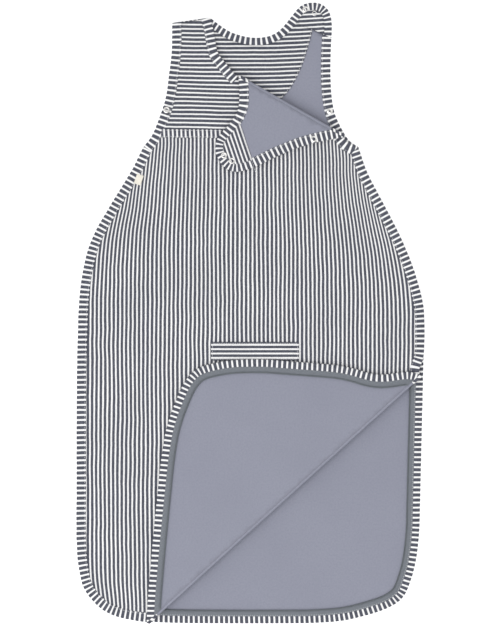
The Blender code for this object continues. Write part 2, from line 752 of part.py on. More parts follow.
strap_sides = [(strap_edge, CLOTH_INSET), (fold_across_strap, FOLD_MARGIN)]
strap_snaps = snap_pair(-SNAP_FROM_FOLD)
strap_holes = [
    snap_cutter(f"strap_snap_room_{i}", centre, strap_empty) for i, centre in enumerate(strap_snaps, 1)
]
strap_side_hole = snap_cutter("strap_side_snap_room", right_snap, strap_empty)
sheet("strap_panel", ring(*strap_sides), FRONT["high_cloth"], STRIPED_JERSEY, strap_empty)
sheet("strap_lining", ring(*strap_sides), FRONT["low_cloth"], GREY_JERSEY, strap_empty)
strap_facing = ring((strap_edge, FACING_INSET), (curve(STRAP_FACING_EDGE), 0))
sheet("strap_facing", strap_facing, FRONT["low_tape"], STRIPED_JERSEY, strap_empty, cutters=strap_holes)
binding(
    "strap_binding", prolonged(strap_edge, BEYOND), FRONT_BASE, TOP, body=strap_empty,
    cuts=[(strap_fold, 1, "all", FOLD_MARGIN)], cutters=[*strap_holes, strap_side_hole],
)


# Back shoulder tab, which folds forward over the strap

tab_sides = [(tab_edge, CLOTH_INSET), (fold_across_tab, FOLD_MARGIN)]
tab_snaps = snap_pair(SNAP_FROM_FOLD)
tab_holes = [snap_cutter(f"tab_snap_room_{i}", centre, tab_empty) for i, centre in enumerate(tab_snaps, 1)]
sheet("tab_panel", ring(*tab_sides), BACK["low_cloth"], STRIPED_JERSEY, tab_empty)
sheet("tab_lining", ring(*tab_sides), BACK["high_cloth"], GREY_JERSEY, tab_empty)
tab_facing = ring((tab_edge, FACING_INSET), (fold_across_tab, FOLD_MARGIN))
sheet("tab_facing", tab_facing, BACK["high_tape"], STRIPED_JERSEY, tab_empty, cutters=tab_holes)
binding(
    "tab_binding", prolonged(tab_edge, BEYOND), 0, EDGE_STACK, body=tab_empty,
    cuts=[(tab_fold, 1, "all", FOLD_MARGIN)], cutters=tab_holes,
)


# Press studs: two pairs close the shoulder, and one pair draws in each armhole

for i, (strap_snap, tab_snap) in enumerate(zip(strap_snaps, tab_snaps), 1):
    snap_ring(f"strap_snap_ring_{i}", strap_snap, FRONT["low_tape"], strap_empty)
    snap_stud(f"strap_snap_stud_{i}", strap_snap, FRONT["high_tape"], strap_empty)
    snap_ring(f"tab_snap_ring_{i}", tab_snap, BACK["low_tape"], tab_empty)
    snap_ring(f"tab_snap_socket_{i}", tab_snap, BACK["high_tape"], tab_empty)
for side, centre, front_body in (("left", left_snap, None), ("right", right_snap, strap_empty)):
    snap_ring(f"back_{side}_armhole_snap_ring", centre, BACK["low_tape"])
    snap_stud(f"back_{side}_armhole_snap_stud", centre, BACK["high_tape"])
    snap_ring(f"front_{side}_armhole_snap_socket", centre, FRONT["low_tape"], front_body)
    snap_ring(f"front_{side}_armhole_snap_ring", centre, FRONT["high_tape"], front_body)


# Zip

tape_near = FACING_INSET
tape_far = tape_near + ZIP_TAPE_SHOWN
coil_near = tape_far - COIL_WIDTH
back_tape = (BACK["high_tape"][0], BACK["high_tape"][0] + ZIP_TAPE)
front_tape = (FRONT["low_tape"][1] - ZIP_TAPE, FRONT["low_tape"][1])
back_coil = (back_tape[1] + GAP, back_tape[1] + GAP + COIL_HEIGHT)
front_coil = (front_tape[0] - GAP - COIL_HEIGHT, front_tape[0] - GAP)
tape_start = foot_mark - TAPE_BEFORE_FOLD
coil_start = tape_start + 2 * STOP_LENGTH + STOP_ROOM
tape_end = full - STOP_ROOM
coil_end = tape_end - 2 * STOP_LENGTH - STOP_ROOM
side_start = side_mark - BEYOND
front_cut = [(corner_fold, 1, "all", FOLD_MARGIN)]

flat_strip(
    "zip_back_tape", portion(skirt, tape_start, tape_end), tape_near, tape_far, *back_tape, ZIP_CLOTH,
    cuts=[(back_underarm_line, 1, "end", GAP)],
)
flat_strip("zip_back_coil", portion(skirt, coil_start, coil_end), coil_near, tape_far, *back_coil, NYLON)
flat_strip(
    "zip_front_tape", portion(skirt, side_start, tape_end), tape_near, tape_far, *front_tape, ZIP_CLOTH,
    cuts=[*front_cut, (front_underarm_line, 1, "end", GAP)],
)
flat_strip(
    "zip_front_coil", portion(skirt, side_start, coil_end), coil_near, tape_far, *front_coil, NYLON,
    cuts=front_cut,
)
flat_strip(
    "zip_corner_tape", corner_path, tape_near, tape_far, *front_tape, ZIP_CLOTH, body=corner_empty,
    cuts=corner_cut,
)
flat_strip(
    "zip_corner_coil", corner_path, coil_near, tape_far, *front_coil, NYLON,
    body=corner_empty, cuts=corner_cut,
)

mid_height = (back_tape[1] + front_tape[0]) / 2
coil_middle = (coil_near + tape_far) / 2
stop_size = (2 * COIL_WIDTH, STOP_LENGTH, front_coil[1] - back_coil[0])
for name, mark in (
    ("zip_bottom_stop", tape_start + STOP_LENGTH), ("zip_top_stop", tape_end - STOP_LENGTH),
):
    point, along, inward = station(skirt, mark)
    centre = point + inward * coil_middle
    block(name, stop_size, (*centre, mid_height), math.atan2(along[1], along[0]) - math.pi / 2, ZINC)

slider_mark = side_mark + SLIDER_PLACE
slider_point, slide_way, slider_inward = station(skirt, slider_mark)
outer_far = coil_near - SLIDER_ROOM
outer_near = outer_far - SLIDER_PLATE
inner_near = tape_far + SLIDER_ROOM
inner_far = inner_near + SLIDER_PLATE
low = back_coil[0]
high = front_coil[1]
web_low = mid_height - SLIDER_WEB / 2
web_high = mid_height + SLIDER_WEB / 2
slider_section = [
    (outer_near, low), (outer_far, low), (outer_far, web_low), (inner_near, web_low), (inner_near, low),
    (inner_far, low), (inner_far, high), (inner_near, high), (inner_near, web_high), (outer_far, web_high),
    (outer_far, high), (outer_near, high),
]
upright(
    "zip_slider", slider_section, SLIDER_LENGTH, slider_point, slider_inward, ZINC,
)

puller_inset = inner_far + SLIDER_ROOM + PULLER_THICKNESS / 2
pivot = slider_point + slider_inward * puller_inset
puller_half = (high - low) / 2
puller_outline = [
    (-PULLER_THICKNESS / 2, mid_height - puller_half * 0.6), (PULLER_LENGTH * 0.7, mid_height - puller_half),
    (PULLER_LENGTH, mid_height - puller_half * 0.8), (PULLER_LENGTH, mid_height + puller_half * 0.8),
    (PULLER_LENGTH * 0.7, mid_height + puller_half), (-PULLER_THICKNESS / 2, mid_height + puller_half * 0.6),
]
eye_centre = (PULLER_LENGTH - 3 * PULLER_HOLE, mid_height)
puller_eye = [
    (eye_centre[0] + PULLER_HOLE * math.cos(turn), eye_centre[1] + PULLER_HOLE * math.sin(turn))
    for turn in np.linspace(0, 2 * math.pi, 12, endpoint=False)
]
upright("zip_puller", puller_outline, PULLER_THICKNESS, pivot, slide_way, ZINC, holes=[puller_eye])
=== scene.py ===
"""A sleeveless baby sleeping bag of striped jersey, laid flat on its back.

The lower corner of the front and its right shoulder strap are folded open, so the grey lining shows.
Lengths are in metres. +Y runs to the neck, +X to the right as seen from above, +Z up off the floor.

Cloth is cut flat and closed first. Each flap is then turned over on its fold line, and a short roll of
cloth joins it to the front.
"""

import sys

import json
import logging
import math
from dataclasses import dataclass, field
from enum import Enum
from typing import Callable, Iterable, Optional, Sequence

import bmesh
import bpy
import numpy as np
from mathutils import Matrix, Vector, noise
from mathutils.geometry import delaunay_2d_cdt


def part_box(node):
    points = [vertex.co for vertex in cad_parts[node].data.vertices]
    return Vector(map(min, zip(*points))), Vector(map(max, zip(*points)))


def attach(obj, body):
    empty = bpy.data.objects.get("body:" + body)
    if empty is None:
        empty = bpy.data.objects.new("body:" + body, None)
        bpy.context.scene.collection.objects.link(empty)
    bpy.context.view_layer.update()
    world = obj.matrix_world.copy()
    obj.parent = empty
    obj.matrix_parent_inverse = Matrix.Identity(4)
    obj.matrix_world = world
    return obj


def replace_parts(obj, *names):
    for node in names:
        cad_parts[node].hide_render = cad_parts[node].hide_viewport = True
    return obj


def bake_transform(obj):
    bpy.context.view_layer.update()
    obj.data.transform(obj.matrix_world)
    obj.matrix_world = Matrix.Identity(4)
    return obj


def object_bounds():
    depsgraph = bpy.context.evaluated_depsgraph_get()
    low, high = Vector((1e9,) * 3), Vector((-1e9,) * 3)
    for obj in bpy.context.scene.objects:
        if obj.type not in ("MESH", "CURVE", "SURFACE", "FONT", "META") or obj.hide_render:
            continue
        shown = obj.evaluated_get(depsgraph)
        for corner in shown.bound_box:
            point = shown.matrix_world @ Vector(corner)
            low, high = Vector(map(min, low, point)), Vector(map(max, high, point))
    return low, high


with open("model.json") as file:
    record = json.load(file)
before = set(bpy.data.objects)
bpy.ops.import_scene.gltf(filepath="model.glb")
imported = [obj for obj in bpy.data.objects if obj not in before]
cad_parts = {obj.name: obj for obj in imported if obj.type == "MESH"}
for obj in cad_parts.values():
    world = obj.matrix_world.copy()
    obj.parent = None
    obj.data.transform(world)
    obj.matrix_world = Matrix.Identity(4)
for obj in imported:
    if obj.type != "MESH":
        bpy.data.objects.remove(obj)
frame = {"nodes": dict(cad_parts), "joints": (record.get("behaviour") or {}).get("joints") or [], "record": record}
CAD_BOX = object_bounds()
LOG = logging.getLogger("sleeping_bag")

Points = np.ndarray
Colour = tuple[float, float, float]

# Cutting and sewing sizes
BINDING_WIDTH = 0.0135
BINDING_TAPE = 0.0008
CLOTH_THICKNESS = 0.0010
HIDDEN_EDGE = 0.0040
PATH_STEP = 0.0032
SHEET_STEP = 0.0075
TAB_BAND = 0.0090
YOKE_BAND = 0.0120
STITCH_INSET = 0.0017
STITCH_PITCH = 0.0033
STITCH_LENGTH = 0.0024
THREAD_RADIUS = 0.00028
SIDE_SEAM_DROP = 0.0066
OPEN_EDGE_DROP = 0.0043
DROP_REACH = 0.075
TURN_STEPS = 12
OVERRUN = 0.030
NEAR_END = 0.070
SEAM_EDGE = 0.0012
UNDER_BINDING = HIDDEN_EDGE + 0.007
PAST_BINDING = BINDING_WIDTH + 0.0003
FACING_THICKNESS = 0.0008
FACING_RISE = 0.0003
FINE_STEP = 0.0040
FACING_STEP = 0.0050
ROLL_UV = 0.0045
BINDING_ROLL_REACH = 0.0034
CLOTH_ROLL_REACH = 1.25
# Even triangles: row height, clearance from the edge and least doubled area, as shares of their size
ROW_SHARE = 0.866
CLEAR_SHARE = 0.55
SLIVER_SHARE = 0.016
# Depth, distance past the fold and spread of each dip in the front's free edge
EDGE_DIPS = ((0.0095, 0.066, 0.036), (0.0060, 0.0, 0.014))
# Side of the bag, strength and fade of the stripes' lean
LEANS = ((-1, 0.45, 0.045), (1, 0.60, 0.050))
CAD_WIDTH = 0.5041
CAD_LENGTH = 0.9001
UV_LAYER = "cloth"


# ---------------------------------------------------------------- cutting lines

def stretched(points: Sequence[tuple[float, float]]) -> Points:
    """Cutting points at the size of the loaded bag.

    Args:
        points: (x, y) of a bag 0.504 wide and 0.900 long.

    Returns:
        The points as an array.
    """
    low, high = CAD_BOX
    return np.array(points) * [(high.x - low.x) / CAD_WIDTH, (high.y - low.y) / CAD_LENGTH]


LEFT_UNDERARM = (-0.155, 0.241)
RIGHT_UNDERARM = (0.156, 0.241)
LEFT_NECK = (-0.058, 0.428)
LEFT_SHOULDER = (-0.1136, 0.420)
NECK_FOLD = (-0.0174, 0.3407)
ARMHOLE_FOLD = (0.1353, 0.2537)

SKIRT = [
    LEFT_UNDERARM, (-0.172, 0.207), (-0.205, 0.153), (-0.232, 0.102), (-0.246, 0.040), (-0.2505, -0.040),
    (-0.252, -0.140), (-0.252, -0.240), (-0.252, -0.330), (-0.249, -0.369), (-0.241, -0.400),
    (-0.223, -0.423), (-0.202, -0.437), (-0.170, -0.445), (-0.138, -0.4483), (-0.060, -0.450),
    (0.060, -0.450), (0.092, -0.4495), (0.135, -0.446), (0.173, -0.437), (0.205, -0.425), (0.222, -0.411),
    (0.233, -0.386), (0.240, -0.358), (0.245, -0.313), (0.2455, -0.293), (0.2505, -0.087),
    (0.251, -0.067), (0.252, -0.020), (0.250, 0.012), (0.240, 0.052), (0.229, 0.083), (0.215, 0.115),
    (0.197, 0.150), (0.180, 0.182), (0.168, 0.206), RIGHT_UNDERARM,
]
BACK_CROWN = [
    RIGHT_UNDERARM, (0.143, 0.250), (0.131, 0.269), (0.122, 0.290), (0.118, 0.311), (0.116, 0.346),
    (0.1165, 0.381), (0.118, 0.417), (0.1165, 0.430), (0.111, 0.442), (0.101, 0.4485), (0.089, 0.450),
    (0.077, 0.4475), (0.070, 0.443), (0.061, 0.432), (0.050, 0.418), (0.040, 0.408), (0.026, 0.401),
    (0.008, 0.399), (-0.009, 0.401), (-0.030, 0.408), (-0.051, 0.422), LEFT_NECK,
]
FRONT_ARMHOLE = [RIGHT_UNDERARM, (0.147, 0.2435), (0.1385, 0.2495), ARMHOLE_FOLD]
STRAP_EDGE = [
    ARMHOLE_FOLD, (0.1322, 0.2604), (0.1256, 0.2774), (0.1155, 0.3121), (0.1096, 0.3493), (0.1052, 0.3921),
    (0.0972, 0.4153), (0.0849, 0.4242), (0.0642, 0.4259), (0.0511, 0.4204), (0.0426, 0.4117),
    (0.0383, 0.4006), (0.0349, 0.3893), (0.0304, 0.3791), (0.0258, 0.3702), (0.0190, 0.3622),
    (0.0103, 0.3556), (0.0009, 0.3501), (-0.0087, 0.3450), NECK_FOLD,
]
FRONT_NECK = [
    NECK_FOLD, (-0.028, 0.352), (-0.036, 0.362), (-0.047, 0.377), (-0.053, 0.407), LEFT_NECK,
]
LEFT_ARMHOLE = [
    LEFT_SHOULDER, (-0.114, 0.381), (-0.118, 0.346), (-0.123, 0.311), (-0.132, 0.283), (-0.144, 0.255),
    LEFT_UNDERARM,
]
SHOULDER = [LEFT_NECK, LEFT_SHOULDER]
NECK_FACING_EDGE = [
    (-0.092, 0.430), (-0.086, 0.395), (-0.075, 0.360), (-0.064, 0.336), (-0.050, 0.316), (-0.025, 0.299),
    (0.0, 0.293), (0.025, 0.299), (0.050, 0.316), (0.064, 0.336), (0.075, 0.360), (0.086, 0.395),
    (0.092, 0.418),
]
STRAP_FACING_EDGE = [(0.030, 0.3703), (0.0442, 0.3733), (0.0897, 0.3829), (0.120, 0.3893)]
YOKE_SEAM = [(-0.160, 0.2608), (0.160, 0.2562)]


def smooth_step(value: Points, low: float, high: float) -> Points:
    """0 below low, 1 above high and a smooth rise between."""
    share = np.clip((value - low) / (high - low), 0, 1)
    return share * share * (3 - 2 * share)


def lengths(path: Points) -> Points:
    """Distance along the path at each of its points."""
    return np.concatenate([[0.0], np.cumsum(np.linalg.norm(np.diff(path, axis=0), axis=1))])


def resampled(path: Points, step: float) -> Points:
    """The path with even stretches of about this step."""
    along = lengths(path)
    marks = np.linspace(0, along[-1], max(2, int(round(along[-1] / step)) + 1))
    return np.column_stack([np.interp(marks, along, path[:, k]) for k in range(path.shape[1])])


def smooth_path(points: Sequence[tuple[float, float]], step: float = PATH_STEP) -> Points:
    """A smooth cutting line through the points.

    Args:
        points: the points that it passes.
        step: its spacing once it is smooth.

    Returns:
        An even path: a centripetal Catmull-Rom curve, relaxed a little.
    """
    p = stretched(points)
    p = np.vstack([2 * p[0] - p[1], p, 2 * p[-1] - p[-2]])
    out = []
    for a, b, c, d in zip(p, p[1:], p[2:], p[3:]):
        t = np.cumsum([0.0] + [math.sqrt(np.linalg.norm(v)) for v in (b - a, c - b, d - c)])
        for s in np.linspace(t[1], t[2], 16, endpoint=False):
            ab = a + (b - a) * (s - t[0]) / (t[1] - t[0])
            bc = b + (c - b) * (s - t[1]) / (t[2] - t[1])
            cd = c + (d - c) * (s - t[2]) / (t[3] - t[2])
            abc = ab + (bc - ab) * (s - t[0]) / (t[2] - t[0])
            bcd = bc + (cd - bc) * (s - t[1]) / (t[3] - t[1])
            out.append(abc + (bcd - abc) * (s - t[1]) / (t[2] - t[1]))
    path = resampled(np.array([*out, p[-2]]), step)
    for _ in range(2):
        path[1:-1] = (path[:-2] + 2 * path[1:-1] + path[2:]) / 4
    return path


def inset(path: Points, distance: float) -> Points:
    """The path moved to its left, where the cloth is."""
    way = np.diff(path, axis=0)
    way = way / np.linalg.norm(way, axis=1)[:, None]
    left = np.column_stack([-way[:, 1], way[:, 0]])
    before, after = np.vstack([left[:1], left]), np.vstack([left, left[-1:]])
    share = 1 + (before * after).sum(1)
    return path + (before + after) / share[:, None] * distance


def portion(path: Points, start: float, end: float) -> Points:
    """The stretch of the path between two distances along it."""
    along = lengths(path)
    inner = path[(along > start + 1e-4) & (along < end - 1e-4)]
    ends = [[np.interp(s, along, path[:, k]) for k in range(2)] for s in (start, end)]
    return np.vstack([ends[:1], inner, ends[1:]])


def lengthened(path: Points, start: float = 0.0, end: float = 0.0) -> Points:
    """The path with straight runs of these lengths added before and after it."""
    if start:
        way = (path[0] - path[1]) / np.linalg.norm(path[0] - path[1])
        path = np.vstack([path[0] + np.outer(np.linspace(start, PATH_STEP, 8), way), path])
    if end:
        way = (path[-1] - path[-2]) / np.linalg.norm(path[-1] - path[-2])
        path = np.vstack([path, path[-1] + np.outer(np.linspace(PATH_STEP, end, 8), way)])
    return path


def side_of(points: Points, line: Points) -> Points:
    """Signed distance of points from a line, positive to its left."""
    along = (line[1] - line[0]) / np.linalg.norm(line[1] - line[0])
    rest = np.atleast_2d(points)[:, :2] - line[0]
    return along[0] * rest[:, 1] - along[1] * rest[:, 0]


def crossings(path: Points, line: Points) -> list[float]:
    """Distances along the path where it crosses the line."""
    side, along = side_of(path, line), lengths(path)
    return [
        along[i] + (along[i + 1] - along[i]) * side[i] / (side[i] - side[i + 1])
        for i in range(len(path) - 1)
        if side[i] * side[i + 1] < 0
    ]


def split(path: Points, line: Points) -> list[Points]:
    """The path cut where it crosses the line."""
    marks = [0.0, *crossings(path, line), lengths(path)[-1]]
    return [portion(path, a, b) for a, b in zip(marks, marks[1:])]


def meeting(first: Points, second: Points) -> tuple[Points, Points]:
    """The two paths trimmed or run on to where they meet, nearest to the end of the first."""
    a, b = lengthened(first, OVERRUN, OVERRUN), lengthened(second, OVERRUN, OVERRUN)
    q, s = b[:-1], np.diff(b, axis=0)
    for i in range(len(a) - 1, 0, -1):
        p, r = a[i - 1], a[i] - a[i - 1]
        cross = r[0] * s[:, 1] - r[1] * s[:, 0]
        safe = np.where(np.abs(cross) < 1e-12, 1e-12, cross)
        t = ((q - p)[:, 0] * s[:, 1] - (q - p)[:, 1] * s[:, 0]) / safe
        u = ((q - p)[:, 0] * r[1] - (q - p)[:, 1] * r[0]) / safe
        hit = np.nonzero((t >= 0) & (t <= 1) & (u >= 0) & (u <= 1) & (np.abs(cross) > 1e-12))[0]
        if len(hit):
            j = int(hit[0])
            point = p + t[j] * r
            return np.vstack([a[:i], point]), np.vstack([point, b[j + 1:]])
    middle = (first[-1] + second[0]) / 2
    return np.vstack([first[:-1], middle]), np.vstack([middle, second[1:]])


def ring(*sides: tuple[Points, float]) -> Points:
    """A closed outline.

    Args:
        sides: (path, inset) in order, with the cloth to the left of each.

    Returns:
        The outline's points, the last joined to the first.
    """
    paths = [inset(path, distance) for path, distance in sides]
    count = len(paths)
    starts: list[Optional[Points]] = [None] * count
    ends: list[Optional[Points]] = [None] * count
    for i in range(count):
        j = (i + 1) % count
        first, second = meeting(paths[i], paths[j])
        ends[i], starts[j] = first[-1], second[0]
    outline = []
    for path, start, end in zip(paths, starts, ends):
        along = lengths(path)
        way = np.diff(path, axis=0)
        spans = []
        for point in (start, end):
            share = ((point - path[:-1]) * way).sum(1) / np.maximum((way * way).sum(1), 1e-18)
            near = path[:-1] + np.clip(share, 0, 1)[:, None] * way
            k = int(np.argmin(np.linalg.norm(near - point, axis=1)))
            spans.append(along[k] + np.clip(share[k], 0, 1) * (along[k + 1] - along[k]))
        inner = path[(along > spans[0] + 1e-4) & (along < spans[1] - 1e-4)]
        outline.append(np.vstack([start[None], inner]))
    return np.vstack(outline)


def inside(points: Points, outline: Points) -> Points:
    """Whether each point lies within the closed outline."""
    x, y = points[:, 0], points[:, 1]
    found = np.zeros(len(points), bool)
    for (x0, y0), (x1, y1) in zip(outline, np.roll(outline, -1, axis=0)):
        if y0 != y1:
            found ^= ((y0 > y) != (y1 > y)) & (x < (x1 - x0) * (y - y0) / (y1 - y0) + x0)
    return found


def distance_to(points: Points, path: Points) -> Points:
    """Distance of each point from the nearest point of an even path."""
    best = np.full(len(points), np.inf)
    for start in range(0, len(path), 64):
        away = np.linalg.norm(points[:, None, :2] - path[None, start:start + 64], axis=2)
        best = np.minimum(best, away.min(1))
    return best


def shaded(colour: Colour, share: float) -> Colour:
    """The colour darkened to this share of its light."""
    return tuple(share * c for c in colour)


def rippled(points: Points, size: float, seed: float, squeeze: float = 1.0) -> Points:
    """Smooth noise from -1 to 1 over the cloth, with lumps of this size, squeezed across X."""
    return np.array([noise.noise(Vector((x / size * squeeze, y / size, seed))) for x, y in points[:, :2]])


# ---------------------------------------------------------------- folds and heights

@dataclass(frozen=True)
class Hinge:
    """A fold line, taken from a joint of the bag.

    Attributes:
        point: a point on the line.
        axis: the way the joint turns, by the right hand.
    """

    point: Points
    axis: Points

    @classmethod
    def of(cls, joint: str) -> "Hinge":
        """The hinge of the named joint."""
        found = next(j for j in frame["joints"] if j["name"] == joint)
        axis = np.array(found["axis"], float)
        return cls(np.array(found["pos_m"], float), axis / np.linalg.norm(axis))

    @property
    def line(self) -> Points:
        """Two points of the fold line seen from above, the axis running from the first to the second."""
        return np.array([self.point[:2] - self.axis[:2] * 0.3, self.point[:2] + self.axis[:2] * 0.3])

    @property
    def height(self) -> float:
        """How high the fold line lies."""
        return float(self.point[2])

    def opened(self, points: Points, angle: float = math.pi) -> Points:
        """Closed points turned open by this angle about the fold line."""
        turn = np.array(Matrix.Rotation(-angle, 3, Vector(self.axis)))
        return (points - self.point) @ turn.T + self.point


CORNER_HINGE = Hinge.of("corner_fold")
STRAP_HINGE = Hinge.of("strap_fold")
TAB_HINGE = Hinge.of("tab_fold")


def levels(node: str) -> tuple[float, float]:
    """The lowest and highest height of a node of the bag."""
    low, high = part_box(node)
    return low.z, high.z


def middle_level(node: str) -> float:
    """The height halfway up a node of the bag."""
    return sum(levels(node)) / 2


BACK_EDGE = levels("back_hem_binding")
FRONT_EDGE = levels("front_side_binding")
SIDE_EDGE = levels("side_seam_binding")


class Pattern:
    """The cutting lines of the bag, made once and shared by its parts."""

    def __init__(self) -> None:
        """Draws each edge and splits it where a fold or a seam crosses it."""
        corner, strap, tab = CORNER_HINGE.line, STRAP_HINGE.line[::-1], TAB_HINGE.line
        self.skirt = smooth_path(SKIRT)
        self.back_crown = smooth_path(BACK_CROWN)
        self.left_armhole = smooth_path(LEFT_ARMHOLE)
        self.front_armhole = smooth_path(FRONT_ARMHOLE)
        self.strap_edge = smooth_path(STRAP_EDGE)
        self.front_neck = smooth_path(FRONT_NECK)
        self.shoulder = resampled(stretched(SHOULDER), PATH_STEP)
        self.yoke_seam = resampled(stretched(YOKE_SEAM), PATH_STEP)
        self.back_armhole, self.tab_edge, self.back_neck = split(self.back_crown, tab)
        self.armhole_above, self.armhole_below = split(self.left_armhole, self.yoke_seam[[0, -1]])
        self.corner, self.strap, self.tab = corner, strap, tab
        self.full = lengths(self.skirt)[-1]
        self.foot_mark, self.side_mark = crossings(self.skirt, corner)
        self.front_skirt = self.slack(self.skirt)
        self.side_mark = crossings(self.front_skirt, corner)[-1]
        self.left_side, self.corner_edge, self.right_side = split(self.front_skirt, corner)
        self.left_edges = np.vstack([self.shoulder, self.left_armhole, self.left_side])
        self.tab_band = tab + np.array([TAB_HINGE.axis[1], -TAB_HINGE.axis[0]]) * TAB_BAND
        self.left_underarm = mitre(self.left_armhole, self.skirt)
        self.back_underarm = mitre(self.skirt, self.back_crown)
        self.front_underarm = mitre(self.skirt, self.front_armhole)

    def slack(self, edge: Points) -> Points:
        """The front's free edge, which sags beside the end of the fold."""
        past = self.side_mark - lengths(edge)
        sag = sum(depth * np.exp(-(((past - at) / spread) ** 2)) for depth, at, spread in EDGE_DIPS)
        return edge + (inset(edge, 1.0) - edge) * sag[:, None]

    def drop(self, points: Points) -> Points:
        """How far the front lies below its open height, where it is sewn to the back on the left."""
        away = distance_to(points, self.left_edges)
        deep = smooth_step(points[:, 1], 0.190, 0.245)
        depth = SIDE_SEAM_DROP + (OPEN_EDGE_DROP - SIDE_SEAM_DROP) * deep
        free = smooth_step(side_of(points, self.corner), 0.0, 0.060)
        return -depth * (1 - smooth_step(away, 0.014, DROP_REACH)) * free

    def lean(self, points: Points) -> Points:
        """How far the front's stripes lean aside near the curved sides of the bag."""
        x, y = points[:, 0], points[:, 1]
        shift = np.zeros(len(points))
        reach = float(CAD_BOX[1].x)
        for side, hold, fade in LEANS:
            edge = self.skirt[self.skirt[:, 0] * side > 0]
            order = np.argsort(edge[:, 1])
            outline = np.interp(y, edge[order, 1], edge[order, 0])
            away = np.abs(outline - x) + np.maximum(-0.400 - y, 0) * 1.2
            aside = outline - side * reach
            aside = np.where(y < -0.3, np.clip(aside, -0.030, 0.030), aside)
            shift += hold * np.exp(-away / fade) * aside * (1 - 0.55 * smooth_step(y, 0.12, 0.24))
        return shift


def mitre(first: Points, second: Points) -> Points:
    """The line across the cloth that halves the corner between two edges."""
    a, b = first[-1] - first[-2], second[1] - second[0]
    way = a / np.linalg.norm(a) + b / np.linalg.norm(b)
    return np.array([first[-1], first[-1] + np.array([-way[1], way[0]])])


PATTERN = Pattern()


# ---------------------------------------------------------------- finishes

class Nodes:
    """A short way to write a material's nodes."""

    def __init__(self, name: str) -> None:
        """Starts a material with a Principled shader."""
        self.material = bpy.data.materials.new(name)
        self.material.use_nodes = True
        self.tree = self.material.node_tree
        self.shader = self.tree.nodes["Principled BSDF"]

    def add(self, kind: str, inputs: Optional[dict] = None, **settings: object) -> bpy.types.Node:
        """Adds a node.

        Args:
            kind: its type without the ShaderNode prefix.
            inputs: socket name or index to a value or to another node's socket.
            settings: the node's own properties.

        Returns:
            The node.
        """
        node = self.tree.nodes.new("ShaderNode" + kind)
        for key, value in settings.items():
            setattr(node, key, value)
        for key, value in (inputs or {}).items():
            self.put(node.inputs[key], value)
        return node

    def put(self, socket: bpy.types.NodeSocket, value: object) -> None:
        """Links a socket to the value, or sets it."""
        if isinstance(value, bpy.types.NodeSocket):
            self.tree.links.new(value, socket)
        elif isinstance(value, tuple) and len(value) == 3 and socket.type == "RGBA":
            socket.default_value = (*value, 1)
        else:
            socket.default_value = value

    def math(self, operation: str, *values: object) -> bpy.types.NodeSocket:
        """The result of a Math node on these values or sockets."""
        node = self.add("Math", dict(enumerate(values)), operation=operation)
        return node.outputs[0]

    def dress(self, inputs: dict[str, object]) -> None:
        """Sets or links the shader's inputs."""
        for key, value in inputs.items():
            self.put(self.shader.inputs[key], value)

    def ramp(
        self, value: object, low: float, high: float, to: tuple[float, float] = (0, 1),
    ) -> bpy.types.NodeSocket:
        """The value moved from low..high to another range with soft ends."""
        inputs = {"Value": value, "From Min": low, "From Max": high, "To Min": to[0], "To Max": to[1]}
        return self.add("MapRange", inputs, interpolation_type="SMOOTHSTEP").outputs[0]

    def mix(self, share: object, first: object, second: object) -> bpy.types.NodeSocket:
        """Two colours mixed by a share."""
        node = self.add("Mix", data_type="RGBA")
        self.put(node.inputs[0], share)
        self.put(node.inputs[6], first)
        self.put(node.inputs[7], second)
        return node.outputs[2]

    def noise(self, where: object, scale: float, detail: float = 2.0) -> bpy.types.NodeSocket:
        """Noise about 0.5 at these coordinates."""
        return self.add("TexNoise", {"Vector": where, "Scale": scale, "Detail": detail}).outputs["Fac"]

    def cloth_place(self) -> bpy.types.NodeSocket:
        """Where the point lies on the flat cloth, in metres."""
        return self.add("UVMap", uv_map=UV_LAYER).outputs[0]

    def relief(self, height: object, distance: float, strength: float = 1.0) -> None:
        """Raises the surface by this height."""
        bump = self.add("Bump", {"Height": height, "Distance": distance, "Strength": strength})
        self.put(self.shader.inputs["Normal"], bump.outputs[0])

    def ribs(self, place: object, pitch: float) -> bpy.types.NodeSocket:
        """Rounded ribs across this coordinate, one to each pitch."""
        return self.math("ABSOLUTE", self.math("SINE", self.math("MULTIPLY", place, math.pi / pitch)))

    def knit(self, across: object, along: object, loop: float) -> bpy.types.NodeSocket:
        """The height of plain knitting: rows of small loops."""
        wale = self.ribs(across, loop)
        course = self.ribs(along, loop * 0.8)
        return self.math("ADD", self.math("MULTIPLY", wale, 0.65), self.math("MULTIPLY", course, 0.35))


